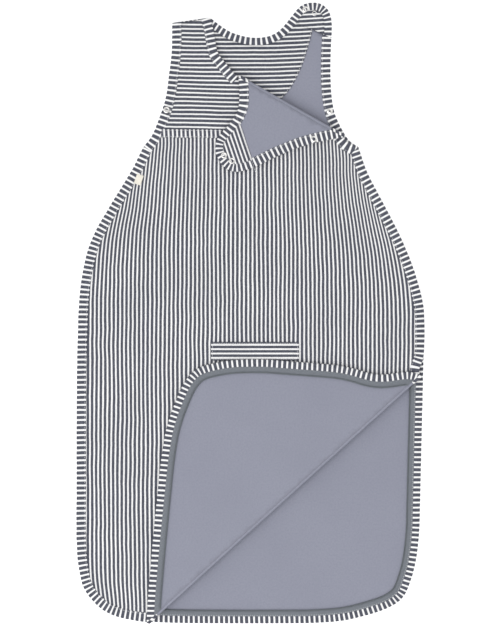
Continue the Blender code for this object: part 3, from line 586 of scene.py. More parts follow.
@dataclass(frozen=True)
class StripedJersey:
    """Yarn-dyed jersey with white stripes on slate.

    Attributes:
        name: the material's name.
        pitch: from one stripe to the next.
        white: the share of the pitch that is white.
        wobble: how far a stripe strays.
        skew: how far a stripe slants, as a share of the way across.
        phase: the share of a pitch that the first stripe is moved.
        loop: the width of one knitted loop.
    """

    name: str
    pitch: float = 0.0062
    white: float = 0.40
    wobble: float = 0.0005
    skew: float = 0.0
    phase: float = 0.0
    loop: float = 0.00085
    slate: Colour = (0.066, 0.071, 0.094)
    pale_slate: Colour = (0.112, 0.119, 0.152)
    pale: Colour = (0.97, 0.97, 0.97)

    def material(self) -> bpy.types.Material:
        """The finish as a material. Stripes run where the cloth's first coordinate is constant."""
        n = Nodes(self.name)
        where = n.cloth_place()
        parts = n.add("SeparateXYZ", {0: where})
        across, along = parts.outputs[0], parts.outputs[1]
        stray = n.math("SUBTRACT", n.noise(where, 55.0, 3.0), 0.5)
        fuzz = n.math("SUBTRACT", n.noise(where, 900.0, 1.0), 0.5)
        place = n.math("ADD", across, n.math("MULTIPLY", stray, 2 * self.wobble))
        place = n.math("ADD", place, n.math("MULTIPLY", fuzz, 0.0005))
        place = n.math("ADD", place, n.math("MULTIPLY", along, self.skew))
        turns = n.math("ADD", n.math("DIVIDE", place, self.pitch), self.phase + 1000)
        share = n.math("ABSOLUTE", n.math("SUBTRACT", n.math("FRACT", turns), 0.5))
        edge = self.white / 2
        stripe = n.ramp(share, edge - 0.035, edge + 0.035, (1, 0))
        rim = n.ramp(share, edge + 0.02, edge + 0.16, (0, 1))
        slate = n.mix(n.ramp(n.noise(where, 260.0, 3.0), 0.3, 0.75), self.slate, self.pale_slate)
        slate = n.mix(rim, self.slate, slate)
        pale = n.mix(n.ramp(n.noise(where, 420.0, 2.0), 0.35, 0.8), self.pale, shaded(self.pale, 0.90))
        colour = n.mix(stripe, slate, pale)
        # Painted shade: broad soft patches about 7 cm across are darkened by up to a tenth towards slate, as of
        # gentle creases in the cloth.
        shade = n.ramp(n.noise(where, 14.0, 2.0), 0.25, 0.75, (0.0, 0.10))
        colour = n.mix(shade, colour, self.slate)
        n.dress({"Base Color": colour, "Roughness": 0.92, "Specular IOR Level": 0.25, "Sheen Weight": 0.06,
                 "Sheen Roughness": 0.5})
        height = n.math("ADD", n.knit(across, along, self.loop), n.math("MULTIPLY", stripe, 0.5))
        n.relief(n.math("ADD", height, n.math("MULTIPLY", fuzz, 0.6)), 0.00035, 0.7)
        return n.material


@dataclass(frozen=True)
class PlainJersey:
    """Grey jersey for the lining, slightly mottled.

    Attributes:
        name: the material's name.
        grey: the cloth's colour.
        shadow: a darker grey, used for the heather mottle and as painted shade in the hollows of its loops and in
            broad soft patches.
    """

    name: str
    grey: Colour = (0.298, 0.308, 0.376)
    shadow: Colour = (0.232, 0.240, 0.304)
    loop: float = 0.00085

    def material(self) -> bpy.types.Material:
        """The finish as a material."""
        n = Nodes(self.name)
        where = n.cloth_place()
        parts = n.add("SeparateXYZ", {0: where})
        knit = n.knit(parts.outputs[0], parts.outputs[1], self.loop)
        mottle = n.ramp(n.noise(where, 380.0, 3.0), 0.30, 0.80, (0.0, 0.45))
        # Painted shade: broad soft patches about 9 cm across are darkened by up to a fifth towards the shadow
        # grey, as of soft creases.
        painted_crease_shade = n.ramp(n.noise(where, 11.0, 3.0), 0.25, 0.80, (0.0, 0.22))
        colour = n.mix(mottle, self.grey, self.shadow)
        colour = n.mix(painted_crease_shade, colour, self.shadow)
        # Painted shade: the hollows of the knitted loops are darkened towards the shadow grey.
        colour = n.mix(n.ramp(knit, 0.0, 0.5, (0.28, 0.0)), colour, self.shadow)
        n.dress({"Base Color": colour, "Roughness": 0.94, "Specular IOR Level": 0.2, "Sheen Weight": 0.06})
        fuzz = n.noise(where, 1100.0, 1.0)
        n.relief(n.math("ADD", knit, n.math("MULTIPLY", fuzz, 0.5)), 0.00035, 0.7)
        return n.material


@dataclass(frozen=True)
class WovenTape:
    """The zip's woven tape, with a herringbone of fine threads."""

    name: str
    thread: Colour = (0.215, 0.233, 0.262)
    # A darker grey for the worn patches, and painted shade between the woven ribs.
    wear_and_groove_shade: Colour = (0.135, 0.148, 0.170)
    rib: float = 0.0007

    def material(self) -> bpy.types.Material:
        """The finish as a material."""
        n = Nodes(self.name)
        where = n.cloth_place()
        parts = n.add("SeparateXYZ", {0: where})
        zigzag = n.math("PINGPONG", parts.outputs[1], 0.0022)
        slant = n.math("ADD", parts.outputs[0], zigzag)
        rib = n.ribs(slant, self.rib)
        worn = n.ramp(n.noise(where, 300.0, 2.0), 0.3, 0.8, (0.0, 0.3))
        # Painted shade: the low parts between the woven ribs take the darker grey.
        colour = n.mix(n.ramp(rib, 0.1, 0.7), self.wear_and_groove_shade, self.thread)
        n.dress({"Base Color": n.mix(worn, colour, self.wear_and_groove_shade), "Roughness": 0.8, "Specular IOR Level": 0.3})
        n.relief(rib, 0.0002, 0.8)
        return n.material


@dataclass(frozen=True)
class Moulded:
    """Nylon, satin ribbon or thread: one colour with fine variation.

    Attributes:
        name: the material's name.
        colour: its colour.
        roughness: how matt it is.
        grain: the number of grains in a metre.
    """

    name: str
    colour: Colour
    roughness: float = 0.5
    grain: float = 900.0

    def material(self) -> bpy.types.Material:
        """The finish as a material."""
        n = Nodes(self.name)
        where = n.add("TexCoord").outputs["Object"]
        grain = n.noise(where, self.grain, 3.0)
        worn = n.mix(n.ramp(grain, 0.3, 0.8, (0.0, 0.7)), self.colour, shaded(self.colour, 0.72))
        matt = n.ramp(grain, 0.2, 0.8, (self.roughness - 0.08, self.roughness + 0.08))
        n.dress({"Base Color": worn, "Roughness": matt})
        n.relief(grain, 0.00015, 0.5)
        return n.material


@dataclass(frozen=True)
class Nickel:
    """Plated metal with fine rubbing marks.

    Attributes:
        name: the material's name.
        colour: the metal's colour.
        roughness: how matt the plating is.
    """

    name: str
    colour: Colour = (0.80, 0.79, 0.77)
    roughness: float = 0.24

    def material(self) -> bpy.types.Material:
        """The finish as a material."""
        n = Nodes(self.name)
        where = n.add("TexCoord").outputs["Object"]
        rub = n.noise(where, 700.0, 4.0)
        dull = n.mix(n.ramp(rub, 0.4, 0.8, (0.0, 0.6)), self.colour, shaded(self.colour, 0.75))
        matt = n.ramp(rub, 0.2, 0.8, (self.roughness - 0.06, self.roughness + 0.14))
        n.dress({"Base Color": dull, "Roughness": matt, "Metallic": 1.0})
        n.relief(rub, 0.00006, 0.4)
        return n.material


class Finish(Enum):
    """Every finish of the bag, with the record's slot that it belongs to."""

    FRONT = ("outer_jersey", StripedJersey("front_jersey"))
    YOKE = ("outer_jersey", StripedJersey("yoke_jersey", white=0.37, phase=0.35, wobble=0.0004))
    BACK = ("outer_jersey", StripedJersey("back_jersey", phase=0.2))
    COVER = ("outer_jersey", StripedJersey("cover_jersey", pitch=0.0063, wobble=0.0002))
    FACING = ("striped_facing", StripedJersey("facing_jersey", white=0.36, phase=0.1, wobble=0.0004))
    STRAP_END = ("striped_facing", StripedJersey("strap_end_jersey", pitch=0.0058, phase=0.25, wobble=0.0003))
    BINDING = ("striped_binding", StripedJersey(
        "binding_rib", pitch=0.0073, white=0.37, skew=0.03, loop=0.0011,
    ))
    BAND = ("striped_binding", StripedJersey("seam_band_jersey", phase=0.4, wobble=0.0003, skew=-0.06))
    LINING = ("lining_jersey", PlainJersey("lining_grey"))
    ZIP_TAPE = ("zip_cloth", WovenTape("zip_tape"))
    NYLON = ("zip_coil", Moulded("nylon_coil", (0.150, 0.172, 0.186), 0.42))
    ZINC = ("zip_metal", Nickel("satin_zinc", (0.60, 0.61, 0.62), 0.36))
    STUD = ("snap_metal", Nickel("nickel_stud"))
    LABEL = ("label_satin", Moulded("cream_satin", (0.86, 0.82, 0.72), 0.5, 1500.0))
    THREAD = ("striped_binding", Moulded("pale_thread", (0.84, 0.84, 0.86), 0.85, 2500.0))

    @property
    def slot(self) -> str:
        """The record's material slot."""
        return self.value[0]

    @property
    def material(self) -> bpy.types.Material:
        """The finish's material, made when it is first asked for."""
        recipe = self.value[1]
        return bpy.data.materials.get(recipe.name) or recipe.material()


# ---------------------------------------------------------------- making pieces

@dataclass
class Draft:
    """A mesh in the making, in points, faces and each face's place on the flat cloth."""

    points: Points
    faces: list[tuple[int, ...]]
    places: Points

    def object(self, name: str, finish: Finish, sharp: float = 50.0) -> bpy.types.Object:
        """The draft as a piece with its finish.

        Args:
            name: the piece's name.
            finish: what it is made of.
            sharp: edges over this angle stay sharp, in degrees.

        Returns:
            The object, linked to the scene.
        """
        mesh = bpy.data.meshes.new(name)
        mesh.from_pydata(self.points.tolist(), [], self.faces)
        layer = mesh.uv_layers.new(name=UV_LAYER)
        corners = np.empty(len(mesh.loops), np.int32)
        mesh.loops.foreach_get("vertex_index", corners)
        layer.data.foreach_set("uv", self.places[corners].astype(np.float32).ravel())
        return finished(mesh, name, finish, sharp)


def finished(mesh: bpy.types.Mesh, name: str, finish: Finish, sharp: float = 50.0) -> bpy.types.Object:
    """A linked object of the mesh, shaded smooth and dressed in its finish."""
    mesh.shade_smooth()
    mesh.set_sharp_from_angle(angle=math.radians(sharp))
    mesh.materials.append(finish.material)
    made = bpy.data.objects.new(name, mesh)
    bpy.context.scene.collection.objects.link(made)
    return made


def placed(piece: bpy.types.Object, body: str, node: str) -> bpy.types.Object:
    """The piece, riding on its body in place of a plain node."""
    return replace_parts(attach(piece, body), node)


def thickened(piece: bpy.types.Object, thickness: float, offset: float = 0.0) -> bpy.types.Object:
    """The sheet given this thickness, on both sides unless it is offset to one."""
    body = piece.modifiers.new("thickness", "SOLIDIFY")
    body.thickness, body.offset = thickness, offset
    return applied(piece)


def applied(piece: bpy.types.Object) -> bpy.types.Object:
    """The piece with its modifiers made part of its mesh."""
    graph = bpy.context.evaluated_depsgraph_get()
    mesh = bpy.data.meshes.new_from_object(piece.evaluated_get(graph), depsgraph=graph)
    piece.modifiers.clear()
    piece.data = mesh
    return piece


Place = Callable[[Points], Points]
Lift = Callable[[Points], Points]


@dataclass
class Cloth:
    """A flat-cut piece of cloth.

    Attributes:
        name: the piece's name.
        outline: its closed cutting line.
        level: the height of its middle.
        finish: what it is made of.
        place: gives each flat point its place in the stripes.
        lift: gives each flat point its rise.
        thickness: how thick the cloth is.
        holes: closed outlines that are cut away.
        step: the size of its triangles.
    """

    name: str
    outline: Points
    level: float
    finish: Finish
    place: Place = lambda points: points[:, :2]
    lift: Lift = lambda points: np.zeros(len(points))
    thickness: float = CLOTH_THICKNESS
    holes: Sequence[Points] = ()
    step: float = SHEET_STEP

    def triangles(self) -> tuple[Points, list[tuple[int, ...]]]:
        """The flat cloth as points and triangles of an even size."""
        outlines = (self.outline, *self.holes)
        loops = [resampled(np.vstack([loop, loop[:1]]), self.step)[:-1] for loop in outlines]
        edge = np.vstack(loops)
        low, high = self.outline.min(0), self.outline.max(0)
        rows = []
        for i, y in enumerate(np.arange(low[1], high[1], self.step * ROW_SHARE)):
            x = np.arange(low[0] + (i % 2) * self.step / 2, high[0], self.step)
            rows.append(np.column_stack([x, np.full(len(x), y)]))
        grid = np.vstack(rows)
        grid = grid[inside(grid, self.outline)]
        for hole in self.holes:
            grid = grid[~inside(grid, hole)]
        grid = grid[distance_to(grid, edge) > self.step * CLEAR_SHARE]
        points = np.vstack([edge, grid])
        edges, start = [], 0
        for loop in loops:
            count = len(loop)
            edges += [(start + i, start + (i + 1) % count) for i in range(count)]
            start += count
        made = delaunay_2d_cdt([Vector(p) for p in points.tolist()], edges, [], 0, 1e-7)
        flat = np.array([tuple(v) for v in made[0]])
        faces = np.array([f for f in made[2] if len(f) == 3])
        centres = flat[faces].mean(1)
        keep = inside(centres, self.outline)
        for hole in self.holes:
            keep &= ~inside(centres, hole)
        first, second = (flat[faces[:, k]] - flat[faces[:, 0]] for k in (1, 2))
        doubled = np.abs(first[:, 0] * second[:, 1] - first[:, 1] * second[:, 0])
        keep &= doubled > SLIVER_SHARE * self.step ** 2
        faces = faces[keep]
        used, index = np.unique(faces, return_inverse=True)
        return flat[used], [tuple(f) for f in index.reshape(-1, 3).tolist()]

    def make(self, hinge: Optional[Hinge] = None) -> bpy.types.Object:
        """Cuts and places the cloth.

        Args:
            hinge: the fold line that it is turned open on, if it is.

        Returns:
            The piece.
        """
        flat, faces = self.triangles()
        points = np.column_stack([flat, self.level + self.lift(flat)])
        if hinge:
            points = hinge.opened(points)
        piece = Draft(points, faces, self.place(flat)).object(self.name, self.finish)
        return thickened(piece, self.thickness)

    def lay(self, body: str, node: str, rests_on: str = "", hinge: Optional[Hinge] = None) -> None:
        """Makes the cloth in place of a node.

        Args:
            body: the body that it rides on.
            node: the node that it stands for.
            rests_on: not used; it names the piece under it, or nothing where it is a sewn-on facing.
            hinge: the fold line that it is turned open on, if it is.
        """
        piece = placed(self.make(hinge), body, node)


class Where(Enum):
    """Which stretches of a ribbon a cut acts on."""

    ALL = "all"
    START = "start"
    END = "end"


@dataclass(frozen=True)
class Cut:
    """A straight cut across a ribbon.

    Attributes:
        line: two points of the cut.
        keep: 1 keeps what is left of the line and -1 what is right of it.
        where: the stretches that it acts on.
    """

    line: Points
    keep: int
    where: Where = Where.ALL


Section = list[tuple[float, float]]


def fold_section(
    low: float, high: float, width: float = BINDING_WIDTH, tape: float = BINDING_TAPE,
) -> Section:
    """Tape folded softly round an edge, pressed down along its stitching.

    Args:
        low: its underside.
        high: its top.
        width: how far it reaches in from the edge.
        tape: how thick the tape is.

    Returns:
        A closed list of (inset, height).
    """
    bend = min((high - low) / 2, 0.0023)
    seam = width - STITCH_INSET
    angles = [math.radians(a) for a in (12, 35, 60, 82)]
    arc = [(bend - bend * math.sin(a), bend * math.cos(a)) for a in angles]
    under = [(width, low + 0.0004), (seam, low + 0.0005), (seam - 0.0022, low + 0.0001), (width * 0.45, low)]
    under += [(x, low + bend - rise) for x, rise in arc]
    over = [(x, high - bend + rise) for x, rise in reversed(arc)]
    over += [(width * 0.45, high), (seam - 0.0022, high - 0.0001), (seam, high - 0.0005)]
    over += [(width, high - 0.0004)]
    inner = [
        (width + 0.0001, high - tape), (width * 0.5, high - tape), (tape * 2.4, high - tape),
        (tape * 1.2, (low + high) / 2), (tape * 2.4, low + tape), (width * 0.5, low + tape),
        (width + 0.0001, low + tape),
    ]
    return under + over + inner


def flat_section(near: float, far: float, low: float, high: float) -> Section:
    """A flat tape between two insets, with slightly rounded edges, as a closed list of (inset, height)."""
    soft = min(high - low, far - near) * 0.3
    return [
        (near, low + soft), (near + soft, low), (far - soft, low), (far, low + soft),
        (far, high - soft), (far - soft, high), (near + soft, high), (near, high - soft),
    ]


@dataclass
class Ribbon:
    """A tape or binding along an edge.

    Attributes:
        name: the piece's name.
        path: the edge, with the cloth to its left.
        section: its closed (inset, height) section.
        finish: what it is made of.
        cuts: where it is cut off.
        lift: gives each point its rise, or None where it lies flat.
        lift_from: the height that the rise starts from, so that what lies on the floor stays there.
        puff: how far its top wanders.
    """

    name: str
    path: Points
    section: Section
    finish: Finish
    cuts: Sequence[Cut] = ()
    lift: Optional[Lift] = None
    lift_from: Optional[float] = None
    puff: float = 0.00022

    def surface(self) -> bmesh.types.BMesh:
        """The whole ribbon as an open-ended tube, before it is cut."""
        along = lengths(self.path)
        heights = np.array([z for _, z in self.section])
        low, high = heights.min(), heights.max()
        count, rails = len(self.path), len(self.section)
        rim = np.array(self.section)
        around = lengths(np.vstack([rim, rim[:1]]))
        wander, stray = (
            np.array([noise.noise(Vector((s / size, seed, len(self.name)))) for s in along])
            for size, seed in ((0.011, 3.1), (0.017, 7.7))
        )
        points = np.empty((count, rails, 3))
        for k, (distance, height) in enumerate(self.section):
            share = (height - low) / (high - low)
            outward = max(0.0, 1 - distance / BINDING_WIDTH)
            lane = inset(self.path, distance)
            across = inset(self.path, distance + 1.0) - lane
            points[:, k, :2] = lane + across * (stray * self.puff * outward)[:, None]
            points[:, k, 2] = height + wander * self.puff * share
            if self.lift is not None:
                base = share if self.lift_from is not None else 1.0
                points[:, k, 2] += self.lift(lane) * base
        work = bmesh.new()
        verts = [work.verts.new(p) for p in points.reshape(-1, 3)]
        stretch = work.faces.layers.int.new("stretch")
        layer = work.loops.layers.uv.new(UV_LAYER)
        for i in range(count - 1):
            for k in range(rails):
                j = (k + 1) % rails
                spots = ((i, k), (i + 1, k), (i + 1, j), (i, j))
                face = work.faces.new([verts[a * rails + b] for a, b in spots])
                face[stretch] = i
                places = ((i, k), (i + 1, k), (i + 1, k + 1), (i, k + 1))
                for corner, (station, rail) in zip(face.loops, places):
                    corner[layer].uv = (along[station], around[rail])
        return work

    def trim(self, work: bmesh.types.BMesh) -> None:
        """Makes the ribbon's cuts."""
        along = lengths(self.path)
        stretch = work.faces.layers.int["stretch"]
        for cut in self.cuts:
            first = along[-1] - NEAR_END if cut.where is Where.END else -1.0
            last = NEAR_END if cut.where is Where.START else along[-1] + 1.0
            faces = [f for f in work.faces if along[f[stretch] + 1] > first and along[f[stretch]] < last]
            edges = dict.fromkeys(edge for face in faces for edge in face.edges)
            verts = dict.fromkeys(vert for face in faces for vert in face.verts)
            way = (cut.line[1] - cut.line[0]) / np.linalg.norm(cut.line[1] - cut.line[0])
            away = Vector((way[1], -way[0], 0)) * cut.keep
            bmesh.ops.bisect_plane(
                work, geom=[*verts, *edges, *faces], plane_co=Vector((*cut.line[0], 0)), plane_no=away,
                dist=1e-6, clear_outer=True,
            )

    def cap(self, work: bmesh.types.BMesh) -> None:
        """Closes the ribbon's ends and gives them the cloth's places next to them."""
        layer = work.loops.layers.uv[UV_LAYER]
        old = set(work.faces)
        bmesh.ops.holes_fill(work, edges=work.edges, sides=0)
        for face in work.faces:
            if face not in old:
                for corner in face.loops:
                    beside = next((c for c in corner.vert.link_loops if c.face in old), None)
                    if beside is not None:
                        corner[layer].uv = beside[layer].uv
        bmesh.ops.recalc_face_normals(work, faces=work.faces)

    def make(self, hinge: Optional[Hinge] = None) -> bpy.types.Object:
        """Sews the ribbon.

        Args:
            hinge: the fold line that it is turned open on, if it is.

        Returns:
            The piece.
        """
        work = self.surface()
        self.trim(work)
        self.cap(work)
        if hinge:
            turn = Matrix.Translation(hinge.point) @ Matrix.Rotation(-math.pi, 4, Vector(hinge.axis))
            work.transform(turn @ Matrix.Translation(-Vector(hinge.point)))
        mesh = bpy.data.meshes.new(self.name)
        work.to_mesh(mesh)
        work.free()
        return finished(mesh, self.name, self.finish)

    def turn(self, name: str, hinge: Hinge) -> bpy.types.Object:
        """The rolls of the ribbon round the fold line, which join its turned part to what stays.

        Args:
            name: the piece's name.
            hinge: the fold line.

        Returns:
            One piece with a roll at each place where the ribbon crosses the fold.
        """
        work = self.surface()
        self.trim(work)
        layer = work.loops.layers.uv[UV_LAYER]
        rims = [
            e for e in work.edges
            if len(e.link_faces) == 1
            and all(abs(float(side_of(np.array(v.co[:]), hinge.line)[0])) < 1e-5 for v in e.verts)
        ]
        verts = list(dict.fromkeys(v for e in rims for v in e.verts))
        index = {v: i for i, v in enumerate(verts)}
        base = np.array([v.co[:] for v in verts])
        uvs = np.array([next(iter(v.link_loops))[layer].uv[:] for v in verts])
        rows, places = [], []
        for step in range(TURN_STEPS + 1):
            rows.append(hinge.opened(base, math.pi * step / TURN_STEPS))
            places.append(uvs + [ROLL_UV * step / TURN_STEPS, 0.0])
        count, faces = len(verts), []
        for step in range(TURN_STEPS):
            for e in rims:
                a, b = index[e.verts[0]], index[e.verts[1]]
                here, there = step * count, (step + 1) * count
                faces.append((here + a, here + b, there + b, there + a))
        work.free()
        piece = Draft(np.vstack(rows), faces, np.vstack(places)).object(name, self.finish, 180)
        closed = bmesh.new()
        closed.from_mesh(piece.data)
        bmesh.ops.holes_fill(closed, edges=closed.edges, sides=0)
        bmesh.ops.recalc_face_normals(closed, faces=closed.faces)
        closed.to_mesh(piece.data)
        closed.free()
        return piece


def cloth_turn(name: str, cloth: Cloth, hinge: Hinge) -> bpy.types.Object:
    """The roll of a cloth round its fold line.

    Args:
        name: the piece's name.
        cloth: the cloth, whose outline runs along the fold line.
        hinge: the fold line.

    Returns:
        The piece.
    """
    on_line = cloth.outline[np.abs(side_of(cloth.outline, hinge.line)) < 2e-4]
    along = (on_line - hinge.point[:2]) @ hinge.axis[:2]
    ends = on_line[[int(np.argmin(along)), int(np.argmax(along))]]
    flat = resampled(ends, cloth.step)
    base = np.column_stack([flat, cloth.level + cloth.lift(flat)])
    rows = [hinge.opened(base, math.pi * step / TURN_STEPS) for step in range(TURN_STEPS + 1)]
    count = len(flat)
    faces = [
        (s * count + i, s * count + i + 1, (s + 1) * count + i + 1, (s + 1) * count + i)
        for s in range(TURN_STEPS) for i in range(count - 1)
    ]
    places = np.vstack([cloth.place(flat)] * (TURN_STEPS + 1))
    return thickened(Draft(np.vstack(rows), faces, places).object(name, cloth.finish), cloth.thickness)


@dataclass
class Stitching:
    """A row of thread stitches along a path.

    Attributes:
        name: the piece's name.
        runs: (path, heights) of each row, a height for every point of its path.
        pitch: from one stitch to the next.
        length: how long a stitch is.
        radius: the thread's radius.
    """

    name: str
    runs: list[tuple[Points, Points]] = field(default_factory=list)
    pitch: float = STITCH_PITCH
    length: float = STITCH_LENGTH
    radius: float = THREAD_RADIUS
    sides: int = 6

    def add(self, path: Points, heights: Points, keep: Sequence[Cut] = ()) -> "Stitching":
        """Adds a row, leaving out what the cuts take away."""
        along = lengths(path)
        wanted = np.ones(len(path), bool)
        for cut in keep:
            near = np.ones(len(path), bool)
            if cut.where is Where.START:
                near = along < NEAR_END
            elif cut.where is Where.END:
                near = along > along[-1] - NEAR_END
            wanted &= ~near | (side_of(path, cut.line) * cut.keep > 0.0015)
        marks = np.nonzero(wanted)[0]
        if len(marks) > 3:
            groups = np.split(marks, np.nonzero(np.diff(marks) > 1)[0] + 1)
            self.runs += [(path[g], heights[g]) for g in groups if len(g) > 3]
        return self

    def make(self, hinge: Optional[Hinge] = None) -> bpy.types.Object:
        """Sews the rows as small arched lengths of thread.

        Args:
            hinge: the fold line that they are turned open on, if they are.

        Returns:
            The piece.
        """
        arch = ((-0.5, -0.9), (-0.28, 0.35), (0.0, 0.6), (0.28, 0.35), (0.5, -0.9))
        points, faces = [], []
        for path, heights in self.runs:
            line = np.column_stack([path, heights])
            along = lengths(path)
            for mark in np.arange(self.pitch / 2, along[-1] - self.pitch / 2, self.pitch):
                centre = np.array([np.interp(mark, along, line[:, k]) for k in range(3)])
                ahead = np.array([np.interp(mark + 1e-3, along, line[:, k]) for k in range(3)])
                way = (ahead - centre) / max(np.linalg.norm(ahead - centre), 1e-9)
                side = np.array([-way[1], way[0], 0.0])
                start = len(points)
                for share, rise in arch:
                    thin = 0.55 if abs(share) == 0.5 else 1.0
                    for k in range(self.sides):
                        a = 2 * math.pi * k / self.sides
                        points.append(
                            centre + way * share * self.length + side * math.cos(a) * self.radius * thin
                            + np.array([0, 0, (rise + math.sin(a) * thin) * self.radius])
                        )
                for row in range(len(arch) - 1):
                    for k in range(self.sides):
                        a, b = start + row * self.sides + k, start + row * self.sides + (k + 1) % self.sides
                        faces.append((a, b, b + self.sides, a + self.sides))
                faces.append(tuple(start + k for k in reversed(range(self.sides))))
                faces.append(tuple(start + (len(arch) - 1) * self.sides + k for k in range(self.sides)))
        places = np.array(points)
        if hinge:
            places = hinge.opened(places)
        return Draft(places, faces, places[:, :2]).object(self.name, Finish.THREAD, 180)


def edge_stitches(name: str, ribbon: Ribbon, hinge: Optional[Hinge] = None) -> bpy.types.Object:
    """The two rows of stitches that hold a binding, above and below.

    Args:
        name: the piece's name.
        ribbon: the binding that they go through.
        hinge: the fold line that the binding is turned open on, if it is.

    Returns:
        The piece, not yet on a body.
    """
    path = inset(ribbon.path, BINDING_WIDTH - STITCH_INSET)
    heights = [z for _, z in ribbon.section]
    low, high = min(heights), max(heights)
    rise = ribbon.lift(path) if ribbon.lift is not None else np.zeros(len(path))
    row = Stitching(name)
    row.add(path, np.full(len(path), high - 0.0004) + rise, ribbon.cuts)
    rise = 0 if ribbon.lift_from is not None else rise
    row.add(path, np.full(len(path), low + 0.0004) + rise, ribbon.cuts)
    return row.make(hinge)


def bind(edges: Sequence[tuple[Ribbon, str]]) -> None:
    """Sews bindings to the bag with their stitches, each in place of its node."""
    for edge, node in edges:
        placed(edge.make(), "bag", node)
        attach(edge_stitches(f"{edge.name}_stitches", edge), "bag")


def flat_back(points: Points) -> Points:
    """The slight unevenness of cloth that lies on a floor."""
    edge = distance_to(points, np.vstack([PATTERN.skirt, PATTERN.back_crown, PATTERN.left_armhole]))
    calm = smooth_step(edge, 0.012, 0.045)
    creases = 0.00040 * rippled(points, 0.045, 2.0, 1.8) + 0.00022 * rippled(points, 0.016, 5.0, 2.4)
    return calm * creases


def soft_front(points: Points) -> Points:
    """The front's own shape: lower where it meets the back, with soft ripples between."""
    edge = distance_to(points, np.vstack([
        PATTERN.skirt, PATTERN.front_armhole, PATTERN.strap_edge, PATTERN.front_neck, PATTERN.left_armhole,
    ]))
    folds = np.minimum(np.abs(side_of(points, PATTERN.corner)), np.abs(side_of(points, PATTERN.strap)))
    calm = smooth_step(edge, 0.012, 0.050) * smooth_step(folds, 0.0, 0.030)
    ripple = 0.00080 * rippled(points, 0.075, 11.0, 2.2) + 0.00035 * rippled(points, 0.026, 4.0, 2.4)
    return PATTERN.drop(points) + calm * (ripple - 0.0006)


def front_place(points: Points) -> Points:
    """Where a point of the front lies in its upright stripes, which waver and lean near the sides."""
    stray = 0.0011 * rippled(points, 0.110, 21.0, 1.4) + 0.0006 * rippled(points, 0.034, 9.0)
    return np.column_stack([points[:, 0] - PATTERN.lean(points) + stray, points[:, 1]])


def level_place(points: Points) -> Points:
    """Where a point lies in stripes that run across the bag."""
    stray = 0.0007 * rippled(points, 0.060, 31.0)
    return np.column_stack([points[:, 1] + 0.018 * points[:, 0] + stray, points[:, 0]])


def facing_place(points: Points) -> Points:
    """Where a point lies in the neck facing's stripes, which rise a little to the right."""
    x = np.maximum(points[:, 0], 0)
    stray = 0.0005 * rippled(points, 0.050, 41.0)
    return np.column_stack([points[:, 1] - 0.35 * x * x + stray, points[:, 0]])


# ---------------------------------------------------------------- parts of the bag

@dataclass
class BackPanels:
    """The back: outer cloth, lining, neck facing and the facing of the harness slot.

    Attributes:
        slot_rim: the width of the facing round the slot.
        facing_seam: how far the neck facing stays from the shoulder seam.
        facing_step: the size of the neck facing's triangles.
    """

    slot_rim: float = 0.009
    facing_seam: float = 0.002
    facing_step: float = 0.006

    def slot(self, margin: float = 0.0) -> Points:
        """The harness slot's outline, with this much added all round."""
        low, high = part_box("back_slot_facing")
        centre = ((low + high) / 2)[:2]
        half = np.array([(high.x - low.x) / 2, (high.y - low.y) / 2]) - self.slot_rim + margin
        radius = float(half[1]) * 0.95
        corners = []
        for turn in range(0, 360, 15):
            a = math.radians(turn)
            corners.append((
                centre[0] + math.copysign(half[0] - radius, math.cos(a)) + radius * math.cos(a),
                centre[1] + math.copysign(half[1] - radius, math.sin(a)) + radius * math.sin(a),
            ))
        return np.array(corners)

    def build(self) -> None:
        """Makes and places the back's cloth."""
        p = PATTERN
        sides = [
            (p.back_armhole, HIDDEN_EDGE), (p.tab_band[::-1], 0.0), (p.back_neck, HIDDEN_EDGE),
            (p.shoulder, SEAM_EDGE), (p.left_armhole, HIDDEN_EDGE), (p.skirt, HIDDEN_EDGE),
        ]
        outline = ring(*sides)
        holes = [self.slot()]
        Cloth("back_outer", outline, middle_level("back_panel"), Finish.BACK, front_place,
              holes=holes).lay("bag", "back_panel", "back_hem_edge")
        Cloth("back_inner", outline, middle_level("back_lining"), Finish.LINING, lift=flat_back,
              holes=holes).lay("bag", "back_lining", "back_outer")
        Cloth("back_slot_surround", self.slot(self.slot_rim), middle_level("back_slot_facing"), Finish.BACK,
              holes=holes, thickness=FACING_THICKNESS, step=FACING_STEP).lay("bag", "back_slot_facing")
        facing = ring(
            (smooth_path(NECK_FACING_EDGE), 0), (p.tab_band[::-1], 0.0), (p.back_neck, UNDER_BINDING),
            (p.shoulder, self.facing_seam),
        )
        neck = Cloth("neck_facing", facing, middle_level("back_neck_facing") + FACING_RISE, Finish.FACING,
                     facing_place, flat_back, FACING_THICKNESS, step=self.facing_step)
        neck.lay("bag", "back_neck_facing", "back_inner")
        edge = inset(smooth_path(NECK_FACING_EDGE), 0.0016)
        row = Stitching("neck_facing_stitches").add(edge, neck.level + 0.0004 + flat_back(edge))
        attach(row.make(), "bag")


